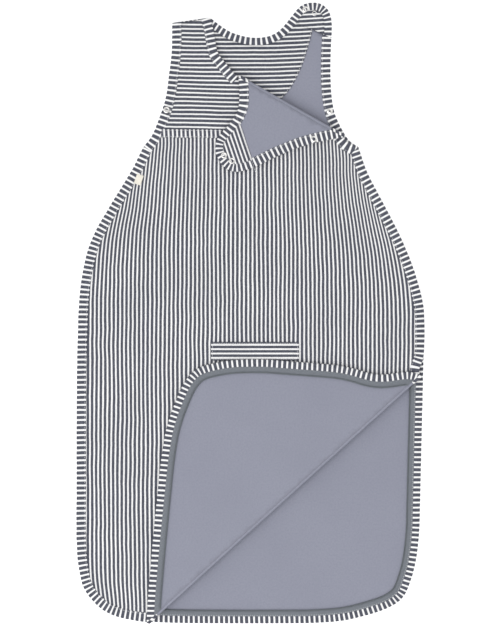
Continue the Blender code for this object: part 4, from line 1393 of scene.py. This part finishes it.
@dataclass
class BackBindings:
    """The bindings that go round the back's own edges, and the seams of the left side and shoulder."""

    def build(self) -> None:
        """Makes and places them with their stitches."""
        p = PATTERN
        section = fold_section(*BACK_EDGE)
        right_way = p.shoulder[[0, -1]]
        over = OVERRUN
        hem = lengthened(portion(p.skirt, p.foot_mark - over, p.full), 0, over)
        bind([
            (Ribbon("back_hem_edge", hem, section, Finish.BINDING,
                    [Cut(p.corner, -1, Where.START), Cut(p.back_underarm, 1, Where.END)]),
             "back_hem_binding"),
            (Ribbon("back_right_armhole_edge", lengthened(p.back_armhole, over, over), section,
                    Finish.BINDING, [Cut(p.back_underarm, -1, Where.START), Cut(p.tab_band, -1, Where.END)]),
             "back_right_armhole_binding"),
            (Ribbon("back_neck_edge", lengthened(p.back_neck, over, over), section, Finish.BINDING,
                    [Cut(p.tab_band, -1, Where.START), Cut(right_way, 1, Where.END)]), "back_neck_binding"),
            (Ribbon("back_left_armhole_edge", lengthened(p.left_armhole, over, over), section, Finish.BINDING,
                    [Cut(right_way, 1, Where.START), Cut(p.left_underarm, 1, Where.END)]),
             "back_left_armhole_binding"),
        ])
        side = Ribbon(
            "side_seam_edge", lengthened(portion(p.skirt, 0, p.foot_mark + OVERRUN), OVERRUN),
            fold_section(*SIDE_EDGE), Finish.BINDING,
            [Cut(p.left_underarm, -1, Where.START), Cut(p.corner, 1, Where.END)], p.drop, SIDE_EDGE[0],
            0.00035,
        )
        placed(side.make(), "bag", "side_seam_binding")
        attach(edge_stitches("side_seam_stitches", side), "bag")
        section = flat_section(0.0, BINDING_TAPE, 0.0006, SIDE_EDGE[1] - 0.0012)
        tape = Ribbon("shoulder_seam", p.shoulder, section, Finish.YOKE, lift=p.drop, lift_from=0.0)
        placed(tape.make(), "bag", "shoulder_seam_tape")


@dataclass
class FrontPanels:
    """What stays of the front: the skirt, the yoke above it, the seam between them and the lining.

    Attributes:
        band_width: the width of the band over the seam.
        stitch_edge: how far its stitches lie in from its edges.
    """

    band_width: float = YOKE_BAND
    stitch_edge: float = 0.0014

    def build(self) -> None:
        """Makes and places the front's cloth."""
        p = PATTERN
        slot = BackPanels().slot()
        fold = resampled(p.corner_edge[[0, -1]], SHEET_STEP)
        strap_fold = resampled(p.strap_edge[[0, -1]], SHEET_STEP)[::-1]
        shoulder, neck = (p.shoulder, SEAM_EDGE), (p.front_neck, HIDDEN_EDGE)
        sides = [(p.left_side, HIDDEN_EDGE), (fold, 0.0), (p.right_side, HIDDEN_EDGE),
                 (p.front_armhole, HIDDEN_EDGE), (strap_fold, 0.0)]
        Cloth("front_skirt", ring((p.yoke_seam[::-1], 0.0), (p.armhole_below, HIDDEN_EDGE), *sides),
              middle_level("front_panel"), Finish.FRONT, front_place, soft_front,
              holes=[slot]).lay("bag", "front_panel", "back_inner")
        yoke = ring((p.yoke_seam, 0.0), (strap_fold, 0.0), neck, shoulder, (p.armhole_above, HIDDEN_EDGE))
        Cloth("front_yoke_cloth", yoke, middle_level("front_yoke"), Finish.YOKE, level_place,
              soft_front).lay("bag", "front_yoke", "back_inner")
        Cloth("front_inner", ring(neck, shoulder, (p.left_armhole, HIDDEN_EDGE), *sides),
              middle_level("front_lining"), Finish.LINING, lift=soft_front,
              holes=[slot]).lay("bag", "front_lining", "back_inner")
        self.band()

    def band(self) -> None:
        """The narrow band over the yoke's seam, and its two rows of stitches."""
        p = PATTERN
        top = levels("front_panel")[1]
        inner = inset(p.front_armhole, PAST_BINDING)
        cuts = [Cut(p.strap, -1), Cut(inner[-2:], 1, Where.END)]
        start = crossings(p.yoke_seam, inset(p.left_armhole, BINDING_WIDTH)[[-24, -2]])
        path = portion(p.yoke_seam, start[0] - 0.002 if start else 0.03, lengths(p.yoke_seam)[-1])
        half = self.band_width / 2
        section = flat_section(-half, half, top + 0.0001, top + 0.0009)
        band = Ribbon("yoke_band", path, section, Finish.BAND, cuts, soft_front, puff=0.0001)
        placed(band.make(), "bag", "yoke_seam_band")
        row = Stitching("yoke_band_stitches")
        for distance in (self.stitch_edge - half, half - self.stitch_edge):
            lane = inset(path, distance)
            row.add(lane, top + 0.0010 + soft_front(lane), cuts)
        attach(row.make(), "bag")


@dataclass
class FrontBindings:
    """The bindings of the front's edges that stay in place."""

    def build(self) -> None:
        """Makes and places them with their stitches."""
        p = PATTERN
        section = fold_section(*FRONT_EDGE)
        right_way = p.shoulder[[0, -1]]
        over = OVERRUN
        side = lengthened(portion(p.front_skirt, p.side_mark - over, p.full), 0, over)
        bind([
            (Ribbon("front_side_edge", side, section, Finish.BINDING,
                    [Cut(p.corner, 1, Where.START), Cut(p.front_underarm, 1, Where.END)], p.drop),
             "front_side_binding"),
            (Ribbon("front_right_armhole_edge", lengthened(p.front_armhole, over, over), section,
                    Finish.BINDING,
                    [Cut(p.front_underarm, -1, Where.START), Cut(p.strap, -1, Where.END)], p.drop),
             "front_right_armhole_binding"),
            (Ribbon("front_neck_edge", lengthened(p.front_neck, 0, over), section, Finish.BINDING,
                    [Cut(right_way, 1, Where.END)], p.drop), "front_neck_binding"),
            (Ribbon("front_left_armhole_edge", lengthened(p.left_armhole, over, over), section,
                    Finish.BINDING,
                    [Cut(right_way, 1, Where.START), Cut(p.left_underarm, 1, Where.END)], p.drop),
             "front_left_armhole_binding"),
        ])


@dataclass
class TurnedFlap:
    """A part of the front that is turned open: outer cloth, lining and binding, with their rolls on the fold.

    Attributes:
        body: the body that it rides on, also the start of its pieces' names.
        hinge: its fold line.
        edge: its free edge.
        binding_path: the edge with a run past the fold at each end.
        nodes: the nodes of its outer cloth, lining and binding.
        finish: what its outer cloth is made of.
        place: where its points lie in the outer cloth's stripes.
    """

    body: str
    hinge: Hinge
    edge: Points
    binding_path: Points
    nodes: tuple[str, str, str]
    finish: Finish
    place: Place

    def build(self) -> None:
        """Makes and places the flap."""
        fold = resampled(self.edge[[-1, 0]], SHEET_STEP)
        outline = ring((self.edge, HIDDEN_EDGE), (fold, 0.0))
        name = self.body
        outer = Cloth(f"{name}_outer", outline, middle_level("front_panel"), self.finish, self.place,
                      soft_front)
        inner = Cloth(f"{name}_inner", outline, middle_level("front_lining"), Finish.LINING, lift=soft_front)
        for cloth, node in zip((outer, inner), self.nodes):
            cloth.lay(name, node, "front_skirt", self.hinge)
            roll = cloth_turn(f"{cloth.name}_roll", cloth, self.hinge)
            self.bend(roll, CLOTH_ROLL_REACH * abs(cloth.level - self.hinge.height))
        ribbon = Ribbon(f"{name}_edge", self.binding_path, fold_section(*FRONT_EDGE), Finish.BINDING,
                        [Cut(self.hinge.line, -1)])
        placed(ribbon.make(self.hinge), name, self.nodes[2])
        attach(edge_stitches(f"{name}_edge_stitches", ribbon, self.hinge), name)
        self.bend(ribbon.turn(f"{name}_edge_roll", self.hinge), BINDING_ROLL_REACH)

    def bend(self, roll: bpy.types.Object, reach: float) -> None:
        """Bakes the roll's place into its mesh; the roll does not unwind as the flap closes."""
        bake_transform(roll)


@dataclass
class ShoulderTab:
    """The back's shoulder tab, lying open; its pieces are baked in place, so it does not fold forward over the
    strap.
    """

    body: str = "back_tab"

    def build(self) -> None:
        """Makes and places the tab flat, its inner edge along a band beside its fold line."""
        p = PATTERN
        marks = crossings(p.back_crown, p.tab_band)
        edge = portion(p.back_crown, marks[0], marks[-1])
        fold = resampled(edge[[-1, 0]], FINE_STEP)
        outline = ring((edge, HIDDEN_EDGE), (fold, 0.0))
        pieces = []
        for name, node, finish, place in (
            ("tab_outer", "tab_panel", Finish.BACK, front_place),
            ("tab_inner", "tab_lining", Finish.LINING, lambda q: q[:, :2]),
        ):
            cloth = Cloth(name, outline, middle_level(node), finish, place, step=FINE_STEP)
            pieces.append(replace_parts(cloth.make(), node))
        facing = ring((edge, UNDER_BINDING), (fold, 0.0))
        cloth = Cloth("tab_facing_cloth", facing, middle_level("tab_facing") + FACING_RISE, Finish.FACING,
                      facing_place, thickness=FACING_THICKNESS, step=FINE_STEP)
        pieces.append(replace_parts(cloth.make(), "tab_facing"))
        path = portion(p.back_crown, marks[0] - OVERRUN, marks[-1] + OVERRUN)
        binding = Ribbon("tab_edge", path, fold_section(*BACK_EDGE), Finish.BINDING, [Cut(p.tab_band, 1)])
        pieces.append(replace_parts(binding.make(), "tab_binding"))
        pieces.append(edge_stitches("tab_edge_stitches", binding))
        for piece in pieces:
            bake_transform(piece)


class StudPart(Enum):
    """The kinds of press stud part."""

    RING = "ring"
    SOCKET = "socket"
    STUD = "stud"


@dataclass
class PressStud:
    """One part of an open-ring press stud.

    Attributes:
        node: the node that it stands for.
        body: the body that it rides on.
        kind: which part it is.
        faces_up: whether its outer side faces up.
        proud: how far it stands out of its node.
        thickness: how thick its flange is.
        turns: the number of steps round it.
    """

    node: str
    body: str
    kind: StudPart
    faces_up: bool
    proud: float = 0.00018
    thickness: float = 0.0008
    turns: int = 40

    def profile(self, low: float, high: float, radius: float) -> list[tuple[float, float]]:
        """The closed (radius, height) profile of the part."""
        mid, thick = (low + high) / 2, high - low
        if self.kind is StudPart.RING:
            crown = [(0.98, 0.30), (0.90, 0.72), (0.76, 0.96), (0.62, 0.80), (0.50, 0.34), (0.49, -0.2),
                     (0.56, -0.5), (0.94, -0.5), (1.0, -0.1)]
        elif self.kind is StudPart.SOCKET:
            crown = [(1.0, 0.10), (0.93, 0.50), (0.82, 0.42), (0.74, 0.74), (0.60, 0.86), (0.54, 0.50),
                     (0.52, 0.0), (0.56, -0.5), (0.96, -0.5)]
        else:
            crown = [(1.0, 0.05), (0.92, 0.45), (0.60, 0.42), (0.46, 0.70), (0.47, 1.30), (0.42, 1.60),
                     (0.33, 1.55), (0.29, 1.2), (0.30, -0.5), (0.96, -0.5)]
        flip = 1 if self.faces_up else -1
        return [(radius * r, mid + flip * h * thick) for r, h in crown]

    def build(self) -> bpy.types.Object:
        """Turns the part and places it."""
        low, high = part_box(self.node)
        centre = (low + high) / 2
        radius = (high.x - low.x) / 2
        bottom, top = low.z, low.z + self.thickness
        if self.kind is StudPart.STUD and not self.faces_up:
            bottom, top = high.z - self.thickness, high.z
        profile = self.profile(bottom, top, radius)
        turns = self.turns
        points, faces = [], []
        for i in range(turns):
            a = 2 * math.pi * i / turns
            points += [(centre.x + r * math.cos(a), centre.y + r * math.sin(a), z) for r, z in profile]
        count = len(profile)
        for i in range(turns):
            for k in range(count):
                a, b = i * count + k, i * count + (k + 1) % count
                c, d = ((i + 1) % turns) * count + (k + 1) % count, ((i + 1) % turns) * count + k
                faces.append((a, b, c, d) if not self.faces_up else (d, c, b, a))
        lift = self.proud if self.faces_up else -self.proud
        array = np.array(points) + [0, 0, lift]
        piece = Draft(array, faces, array[:, :2]).object(f"{self.node}_metal", Finish.STUD, 60)
        return placed(piece, self.body, self.node)


@dataclass
class PressStuds:
    """All the press studs of the bag."""

    def build(self) -> int:
        """Makes them.

        Returns:
            How many parts there are.
        """
        made = []
        for body, nodes in frame["record"]["behaviour"]["bodies"].items():
            for node in nodes:
                if "_snap_" not in node:
                    continue
                turned = body == "shoulder_strap"
                inner = "stud" in node or "socket" in node
                kind = next((k for k in (StudPart.STUD, StudPart.SOCKET) if k.value in node), StudPart.RING)
                on_front = node.startswith(("front", "strap"))
                up = (inner and not on_front) or (not inner and on_front)
                if node.startswith("strap"):
                    up = inner
                made.append(PressStud(node, body, kind, up != turned).build())
        return len(made)


@dataclass
class Zip:
    """The zip: woven tapes, coils of nylon teeth, stops, slider and puller.

    Attributes:
        near: how far in from the edge the tape comes out from under the binding.
        shown: how much of the tape shows, teeth included.
        hidden: how far it goes in under the binding.
        coil_width: the width of a row of teeth.
        pitch: from one tooth to the next.
    """

    near: float = PAST_BINDING
    shown: float = 0.0060
    hidden: float = 0.0035
    coil_width: float = 0.0018
    pitch: float = 0.0014

    def tape(self, name: str, node: str, path: Points, cuts: Sequence[Cut], body: str,
             level: tuple[float, float], hinge: Optional[Hinge] = None) -> None:
        """Makes one side's tape, reaching in under the binding."""
        section = flat_section(self.near - self.hidden, self.near + self.shown, *level)
        ribbon = Ribbon(name, path, section, Finish.ZIP_TAPE, cuts, puff=0.00008)
        placed(ribbon.make(hinge), body, node)

    def coil(self, name: str, node: str, path: Points, cuts: Sequence[Cut], body: str,
             level: tuple[float, float], hinge: Optional[Hinge] = None) -> None:
        """Makes one side's teeth as a row of nylon loops."""
        far = self.near + self.shown
        lane = inset(path, far - self.coil_width / 2)
        along = lengths(lane)
        points, faces = [], []
        low, high = level
        shape = ((-0.5, 0.35), (-0.42, 0.9), (0.1, 1.0), (0.46, 0.72), (0.5, 0.3), (0.1, 0.02), (-0.42, 0.08))
        for mark in np.arange(self.pitch, along[-1] - self.pitch, self.pitch):
            centre = np.array([np.interp(mark, along, lane[:, k]) for k in range(2)])
            if any(side_of(centre, cut.line)[0] * cut.keep < 0.002 for cut in cuts):
                continue
            ahead = np.array([np.interp(mark + 1e-3, along, lane[:, k]) for k in range(2)])
            way = (ahead - centre) / max(np.linalg.norm(ahead - centre), 1e-9)
            inward = np.array([-way[1], way[0]])
            start = len(points)
            for step, thick in ((-0.42, 0.6), (-0.2, 1.0), (0.2, 1.0), (0.42, 0.6)):
                for across, rise in shape:
                    spot = centre + way * step * self.pitch * 0.8 + inward * across * thick * self.coil_width
                    points.append((*spot, low + (0.5 + (rise - 0.5) * thick) * (high - low)))
            count = len(shape)
            for row in range(3):
                for k in range(count):
                    a, b = start + row * count + k, start + row * count + (k + 1) % count
                    faces.append((a, a + count, b + count, b))
            faces.append(tuple(start + k for k in range(count)))
            faces.append(tuple(start + 3 * count + k for k in reversed(range(count))))
        array = np.array(points)
        if hinge:
            array = hinge.opened(array)
        placed(Draft(array, faces, array[:, :2]).object(name, Finish.NYLON, 70), body, node)

    def slider(self) -> None:
        """Makes the slider, its puller and the zip's two stops, softened from their plain shapes."""
        for node, body, bevel in (
            ("zip_slider", "zip_slider", 0.00022), ("zip_puller", "zip_puller", 0.00025),
            ("zip_bottom_stop", "bag", 0.0005), ("zip_top_stop", "bag", 0.0005),
        ):
            self.soften(node, body, bevel)

    def soften(self, node: str, body: str, bevel: float) -> None:
        """Makes a metal piece over a plain node, its edges rounded."""
        mesh = frame["nodes"][node].data.copy()
        mesh.materials.clear()
        work = bmesh.new()
        work.from_mesh(mesh)
        bmesh.ops.remove_doubles(work, verts=work.verts, dist=1e-6)
        bmesh.ops.dissolve_limit(work, angle_limit=math.radians(2), verts=work.verts, edges=work.edges)
        sharp = [e for e in work.edges if len(e.link_faces) == 2 and e.calc_face_angle(0) > math.radians(25)]
        bmesh.ops.bevel(work, geom=sharp, offset=bevel, segments=3, profile=0.5, affect="EDGES",
                        clamp_overlap=True)
        work.to_mesh(mesh)
        work.free()
        placed(finished(mesh, f"{node}_cast", Finish.ZINC, 40), body, node)

    def build(self) -> None:
        """Makes the whole zip."""
        p = PATTERN
        start = p.foot_mark - 0.018
        back = portion(p.skirt, start, p.full - 0.002)
        back_cuts = [Cut(p.back_underarm, 1, Where.END)]
        self.tape("back_zip_tape", "zip_back_tape", back, back_cuts, "bag", levels("zip_back_tape"))
        self.coil("back_zip_teeth", "zip_back_coil", portion(p.skirt, start + 0.008, p.full - 0.010), [],
                  "bag", levels("zip_back_coil"))
        front = portion(p.front_skirt, p.side_mark - OVERRUN, p.full - 0.002)
        cuts = [Cut(p.corner, 1, Where.START)]
        self.tape("front_zip_tape", "zip_front_tape", front, [*cuts, Cut(p.front_underarm, 1, Where.END)],
                  "bag", levels("zip_front_tape"))
        front = portion(p.front_skirt, p.side_mark - OVERRUN, p.full - 0.010)
        self.coil("front_zip_teeth", "zip_front_coil", front, [Cut(p.corner, 1)], "bag",
                  levels("zip_front_coil"))
        corner = portion(p.front_skirt, p.foot_mark - OVERRUN, p.side_mark + OVERRUN)
        cuts = [Cut(p.corner, -1)]
        self.tape("corner_zip_tape", "zip_corner_tape", corner, cuts, "corner_flap", levels("zip_front_tape"),
                  CORNER_HINGE)
        self.coil("corner_zip_teeth", "zip_corner_coil", corner, cuts, "corner_flap",
                  levels("zip_front_coil"), CORNER_HINGE)
        self.slider()


@dataclass
class StrapEnd:
    """The striped facing at the end of the shoulder strap."""

    def build(self) -> None:
        """Makes and places it with its row of stitches."""
        p = PATTERN
        edge = smooth_path(STRAP_FACING_EDGE)
        outline = ring((p.strap_edge, UNDER_BINDING), (edge, 0.0))
        way = (edge[-1] - edge[0]) / np.linalg.norm(edge[-1] - edge[0])
        left = np.array([-way[1], way[0]])

        def place(points: Points) -> Points:
            """Where a point lies in stripes that run along the facing's inner edge."""
            return np.column_stack([(points - edge[0]) @ left, (points - edge[0]) @ way])

        level = middle_level("front_lining") - 0.0010
        cloth = Cloth("strap_end_facing", outline, level, Finish.STRAP_END, place, soft_front,
                      FACING_THICKNESS, step=FACING_STEP)
        cloth.lay("shoulder_strap", "strap_facing", hinge=STRAP_HINGE)
        lane = inset(edge, 0.0015)
        row = Stitching("strap_end_stitches").add(lane, np.full(len(lane), level - 0.0005) + soft_front(lane))
        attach(row.make(STRAP_HINGE), "shoulder_strap")


@dataclass
class SlotCover:
    """The cover over the front's harness slot: a turned-in rectangle with its stitches."""

    hem: float = 0.0019

    def build(self) -> None:
        """Makes and places it."""
        low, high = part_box("slot_cover")
        across = np.linspace(low.x, high.x, 56)
        edges = [0.0, 0.0006, 0.0014, 0.0024]
        rows = sorted([low.y + e for e in edges] + [high.y - e for e in edges]
                      + list(np.linspace(low.y + 0.004, high.y - 0.004, 12)))
        outer = [low.x + e for e in edges] + [high.x - e for e in edges]
        columns = sorted(set(outer + across[2:-2].tolist()))
        count_x, count_y = len(columns), len(rows)
        grid = np.array([(x, y) for y in rows for x in columns])
        x, y = grid.T
        rim = np.minimum.reduce([x - low.x, high.x - x, y - low.y, high.y - y])
        crown = np.sqrt(np.clip(rim / 0.0011, 0, 1)) * 0.0005
        groove = 0.00022 * np.exp(-((rim - self.hem) / 0.0006) ** 2)
        soft = 0.00012 * rippled(grid, 0.012, 61.0)
        top = np.column_stack([grid, low.z + 0.0004 + crown - groove + soft])
        under = np.column_stack([grid, np.full(len(grid), low.z + 0.0001)])
        faces = []
        total = count_x * count_y
        for j in range(count_y - 1):
            for i in range(count_x - 1):
                a = j * count_x + i
                faces.append((a, a + 1, a + count_x + 1, a + count_x))
                faces.append((total + a, total + a + count_x, total + a + count_x + 1, total + a + 1))
        border = list(range(count_x)) + [j * count_x + count_x - 1 for j in range(1, count_y)]
        border += [total - 1 - i for i in range(1, count_x)]
        border += [(count_y - 1 - j) * count_x for j in range(1, count_y - 1)]
        for a, b in zip(border, border[1:] + border[:1]):
            faces.append((a, total + a, total + b, b))
        flat = np.vstack([grid, grid])
        middle = (low.y + high.y) / 2
        places = np.column_stack([flat[:, 1] - middle, flat[:, 0]])
        piece = Draft(np.vstack([top, under]), faces, places).object("harness_slot_cover", Finish.COVER)
        placed(piece, "slot_cover", "slot_cover")
        h = self.hem
        corners = np.array([
            (low.x + h, low.y + h), (high.x - h, low.y + h), (high.x - h, high.y - h),
            (low.x + h, high.y - h), (low.x + h, low.y + h),
        ])
        row = Stitching("slot_cover_stitches", pitch=0.0026, length=0.0019)
        for a, b in zip(corners, corners[1:]):
            lane = resampled(np.array([a, b]), 0.002)
            row.add(lane, np.full(len(lane), low.z + 0.00085))
        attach(row.make(), "slot_cover")


@dataclass
class SideLabel:
    """The folded satin loop sewn in at the left side, without any print."""

    def build(self) -> None:
        """Makes and places it."""
        node = frame["nodes"]["side_label"]
        corners = np.array([v.co[:] for v in node.data.vertices])
        centre = (corners.min(0) + corners.max(0)) / 2
        turn = math.radians(-20)
        right = np.array([math.cos(turn), math.sin(turn)])
        up = np.array([-right[1], right[0]])
        half_width, half_length, steps = 0.0050, 0.0070, 14
        low = middle_level("front_panel") + float(soft_front(centre[None, :2])[0]) + 0.0008
        path = [(-1 + 2 * i / steps, 0.0) for i in range(steps + 1)]
        path += [(1.06, 0.35), (1.08, 0.7), (1.02, 1.0)]
        path += [(1 - 2 * i / steps, 1.0) for i in range(steps + 1)]
        points, places, walked = [], [], 0.0
        for i, (v, rise) in enumerate(path):
            if i:
                walked += math.hypot(v - path[i - 1][0], 0.1 * (rise - path[i - 1][1])) * half_length
            for u in (-1.0, -0.86, -0.3, 0.3, 0.86, 1.0):
                spot = centre[:2] + right * u * half_width + up * v * half_length
                curl = 0.0003 * math.sin(3.0 * v + u) + 0.0002 * u * u
                points.append((*spot, low + rise * 0.0009 + curl))
                places.append((u * half_width, walked))
        faces = [
            (6 * i + k, 6 * i + k + 1, 6 * i + k + 7, 6 * i + k + 6)
            for i in range(len(path) - 1) for k in range(5)
        ]
        piece = Draft(np.array(points), faces, np.array(places)).object("side_seam_label", Finish.LABEL)
        placed(thickened(piece, 0.00025, -1.0), "bag", "side_label")


@dataclass
class Studio:
    """The floor, the light and the camera straight above.

    Attributes:
        lens: the focal length, long enough to show little perspective.
        frame_height: how much of the floor the picture's long side shows.
        middle: the floor point under the camera.
        floor_colour: the floor's colour.
        glow: how strongly the floor shines by itself.
        floor_half: half the floor's width.
        floor_gap: how far it lies below the bag.
        sky: the strength of the light from all round.
        sensor: the camera's sensor width in millimetres.
    """

    lens: float = 200.0
    frame_height: float = 0.9045
    middle: tuple[float, float] = (-0.0007, 0.0007)
    floor_colour: Colour = (0.93, 0.93, 0.93)
    glow: float = 0.45
    floor_half: float = 4.0
    floor_gap: float = 0.0006
    sky: float = 0.78
    sensor: float = 36.0

    def floor(self) -> None:
        """A plain pale floor."""
        work = bmesh.new()
        bmesh.ops.create_grid(work, x_segments=1, y_segments=1, size=self.floor_half)
        mesh = bpy.data.meshes.new("floor")
        work.to_mesh(mesh)
        work.free()
        floor = bpy.data.objects.new("floor", mesh)
        floor.location.z = -self.floor_gap
        bpy.context.scene.collection.objects.link(floor)
        n = Nodes("floor_paper")
        n.dress({"Base Color": self.floor_colour, "Roughness": 0.95, "Specular IOR Level": 0.0,
                 "Emission Color": (1.0, 1.0, 1.0), "Emission Strength": self.glow})
        mesh.materials.append(n.material)

    def light(self, name: str, place: tuple[float, float, float], power: float, size: float) -> None:
        """A soft square lamp that looks at the bag."""
        data = bpy.data.lights.new(name, "AREA")
        data.energy = power
        data.size = size
        lamp = bpy.data.objects.new(name, data)
        lamp.location = place
        lamp.rotation_mode = "QUATERNION"
        lamp.rotation_quaternion = (-Vector(place)).to_track_quat("-Z", "Y")
        bpy.context.scene.collection.objects.link(lamp)

    def build(self) -> None:
        """Sets up floor, lights, world and camera."""
        self.floor()
        self.light("key", (-1.0, -1.3, 2.6), 46.0, 2.8)
        self.light("fill", (1.4, 1.5, 3.0), 9.0, 2.6)
        world = bpy.data.worlds.new("room")
        world.use_nodes = True
        sky = world.node_tree.nodes["Background"].inputs
        sky["Color"].default_value = (1.0, 1.0, 1.0, 1.0)
        sky["Strength"].default_value = self.sky
        bpy.context.scene.world = world
        view = bpy.context.scene.view_settings
        view.view_transform = "Standard"
        view.look = "None"
        data = bpy.data.cameras.new("camera")
        data.lens = self.lens
        data.sensor_width = self.sensor
        data.clip_end = 100.0
        camera = bpy.data.objects.new("camera", data)
        top = float(CAD_BOX[1].z) * 0.6
        camera.location = (*self.middle, top + self.frame_height * self.lens / data.sensor_width)
        bpy.context.scene.collection.objects.link(camera)
        bpy.context.scene.camera = camera


def build_flaps() -> None:
    """Makes the two turned flaps of the front."""
    p = PATTERN
    TurnedFlap(
        "corner_flap", CORNER_HINGE, p.corner_edge,
        portion(p.front_skirt, p.foot_mark - OVERRUN, p.side_mark + OVERRUN),
        ("corner_panel", "corner_lining", "corner_binding"), Finish.FRONT, front_place,
    ).build()
    TurnedFlap(
        "shoulder_strap", STRAP_HINGE, p.strap_edge, lengthened(p.strap_edge, OVERRUN, OVERRUN),
        ("strap_panel", "strap_lining", "strap_binding"), Finish.YOKE, level_place,
    ).build()


def main() -> None:
    """Builds the bag part by part."""
    logging.basicConfig(level=logging.INFO, format="%(message)s", stream=sys.stdout)
    steps: Iterable[tuple[str, Callable[[], object]]] = (
        ("back panels", BackPanels().build),
        ("back bindings", BackBindings().build),
        ("front panels", FrontPanels().build),
        ("front bindings", FrontBindings().build),
        ("turned flaps", build_flaps),
        ("shoulder tab", ShoulderTab().build),
        ("strap end", StrapEnd().build),
        ("zip", Zip().build),
        ("press studs", PressStuds().build),
        ("slot cover", SlotCover().build),
        ("side label", SideLabel().build),
        ("studio", Studio().build),
    )
    for name, build in steps:
        build()


if __name__ == "__main__":
    main()
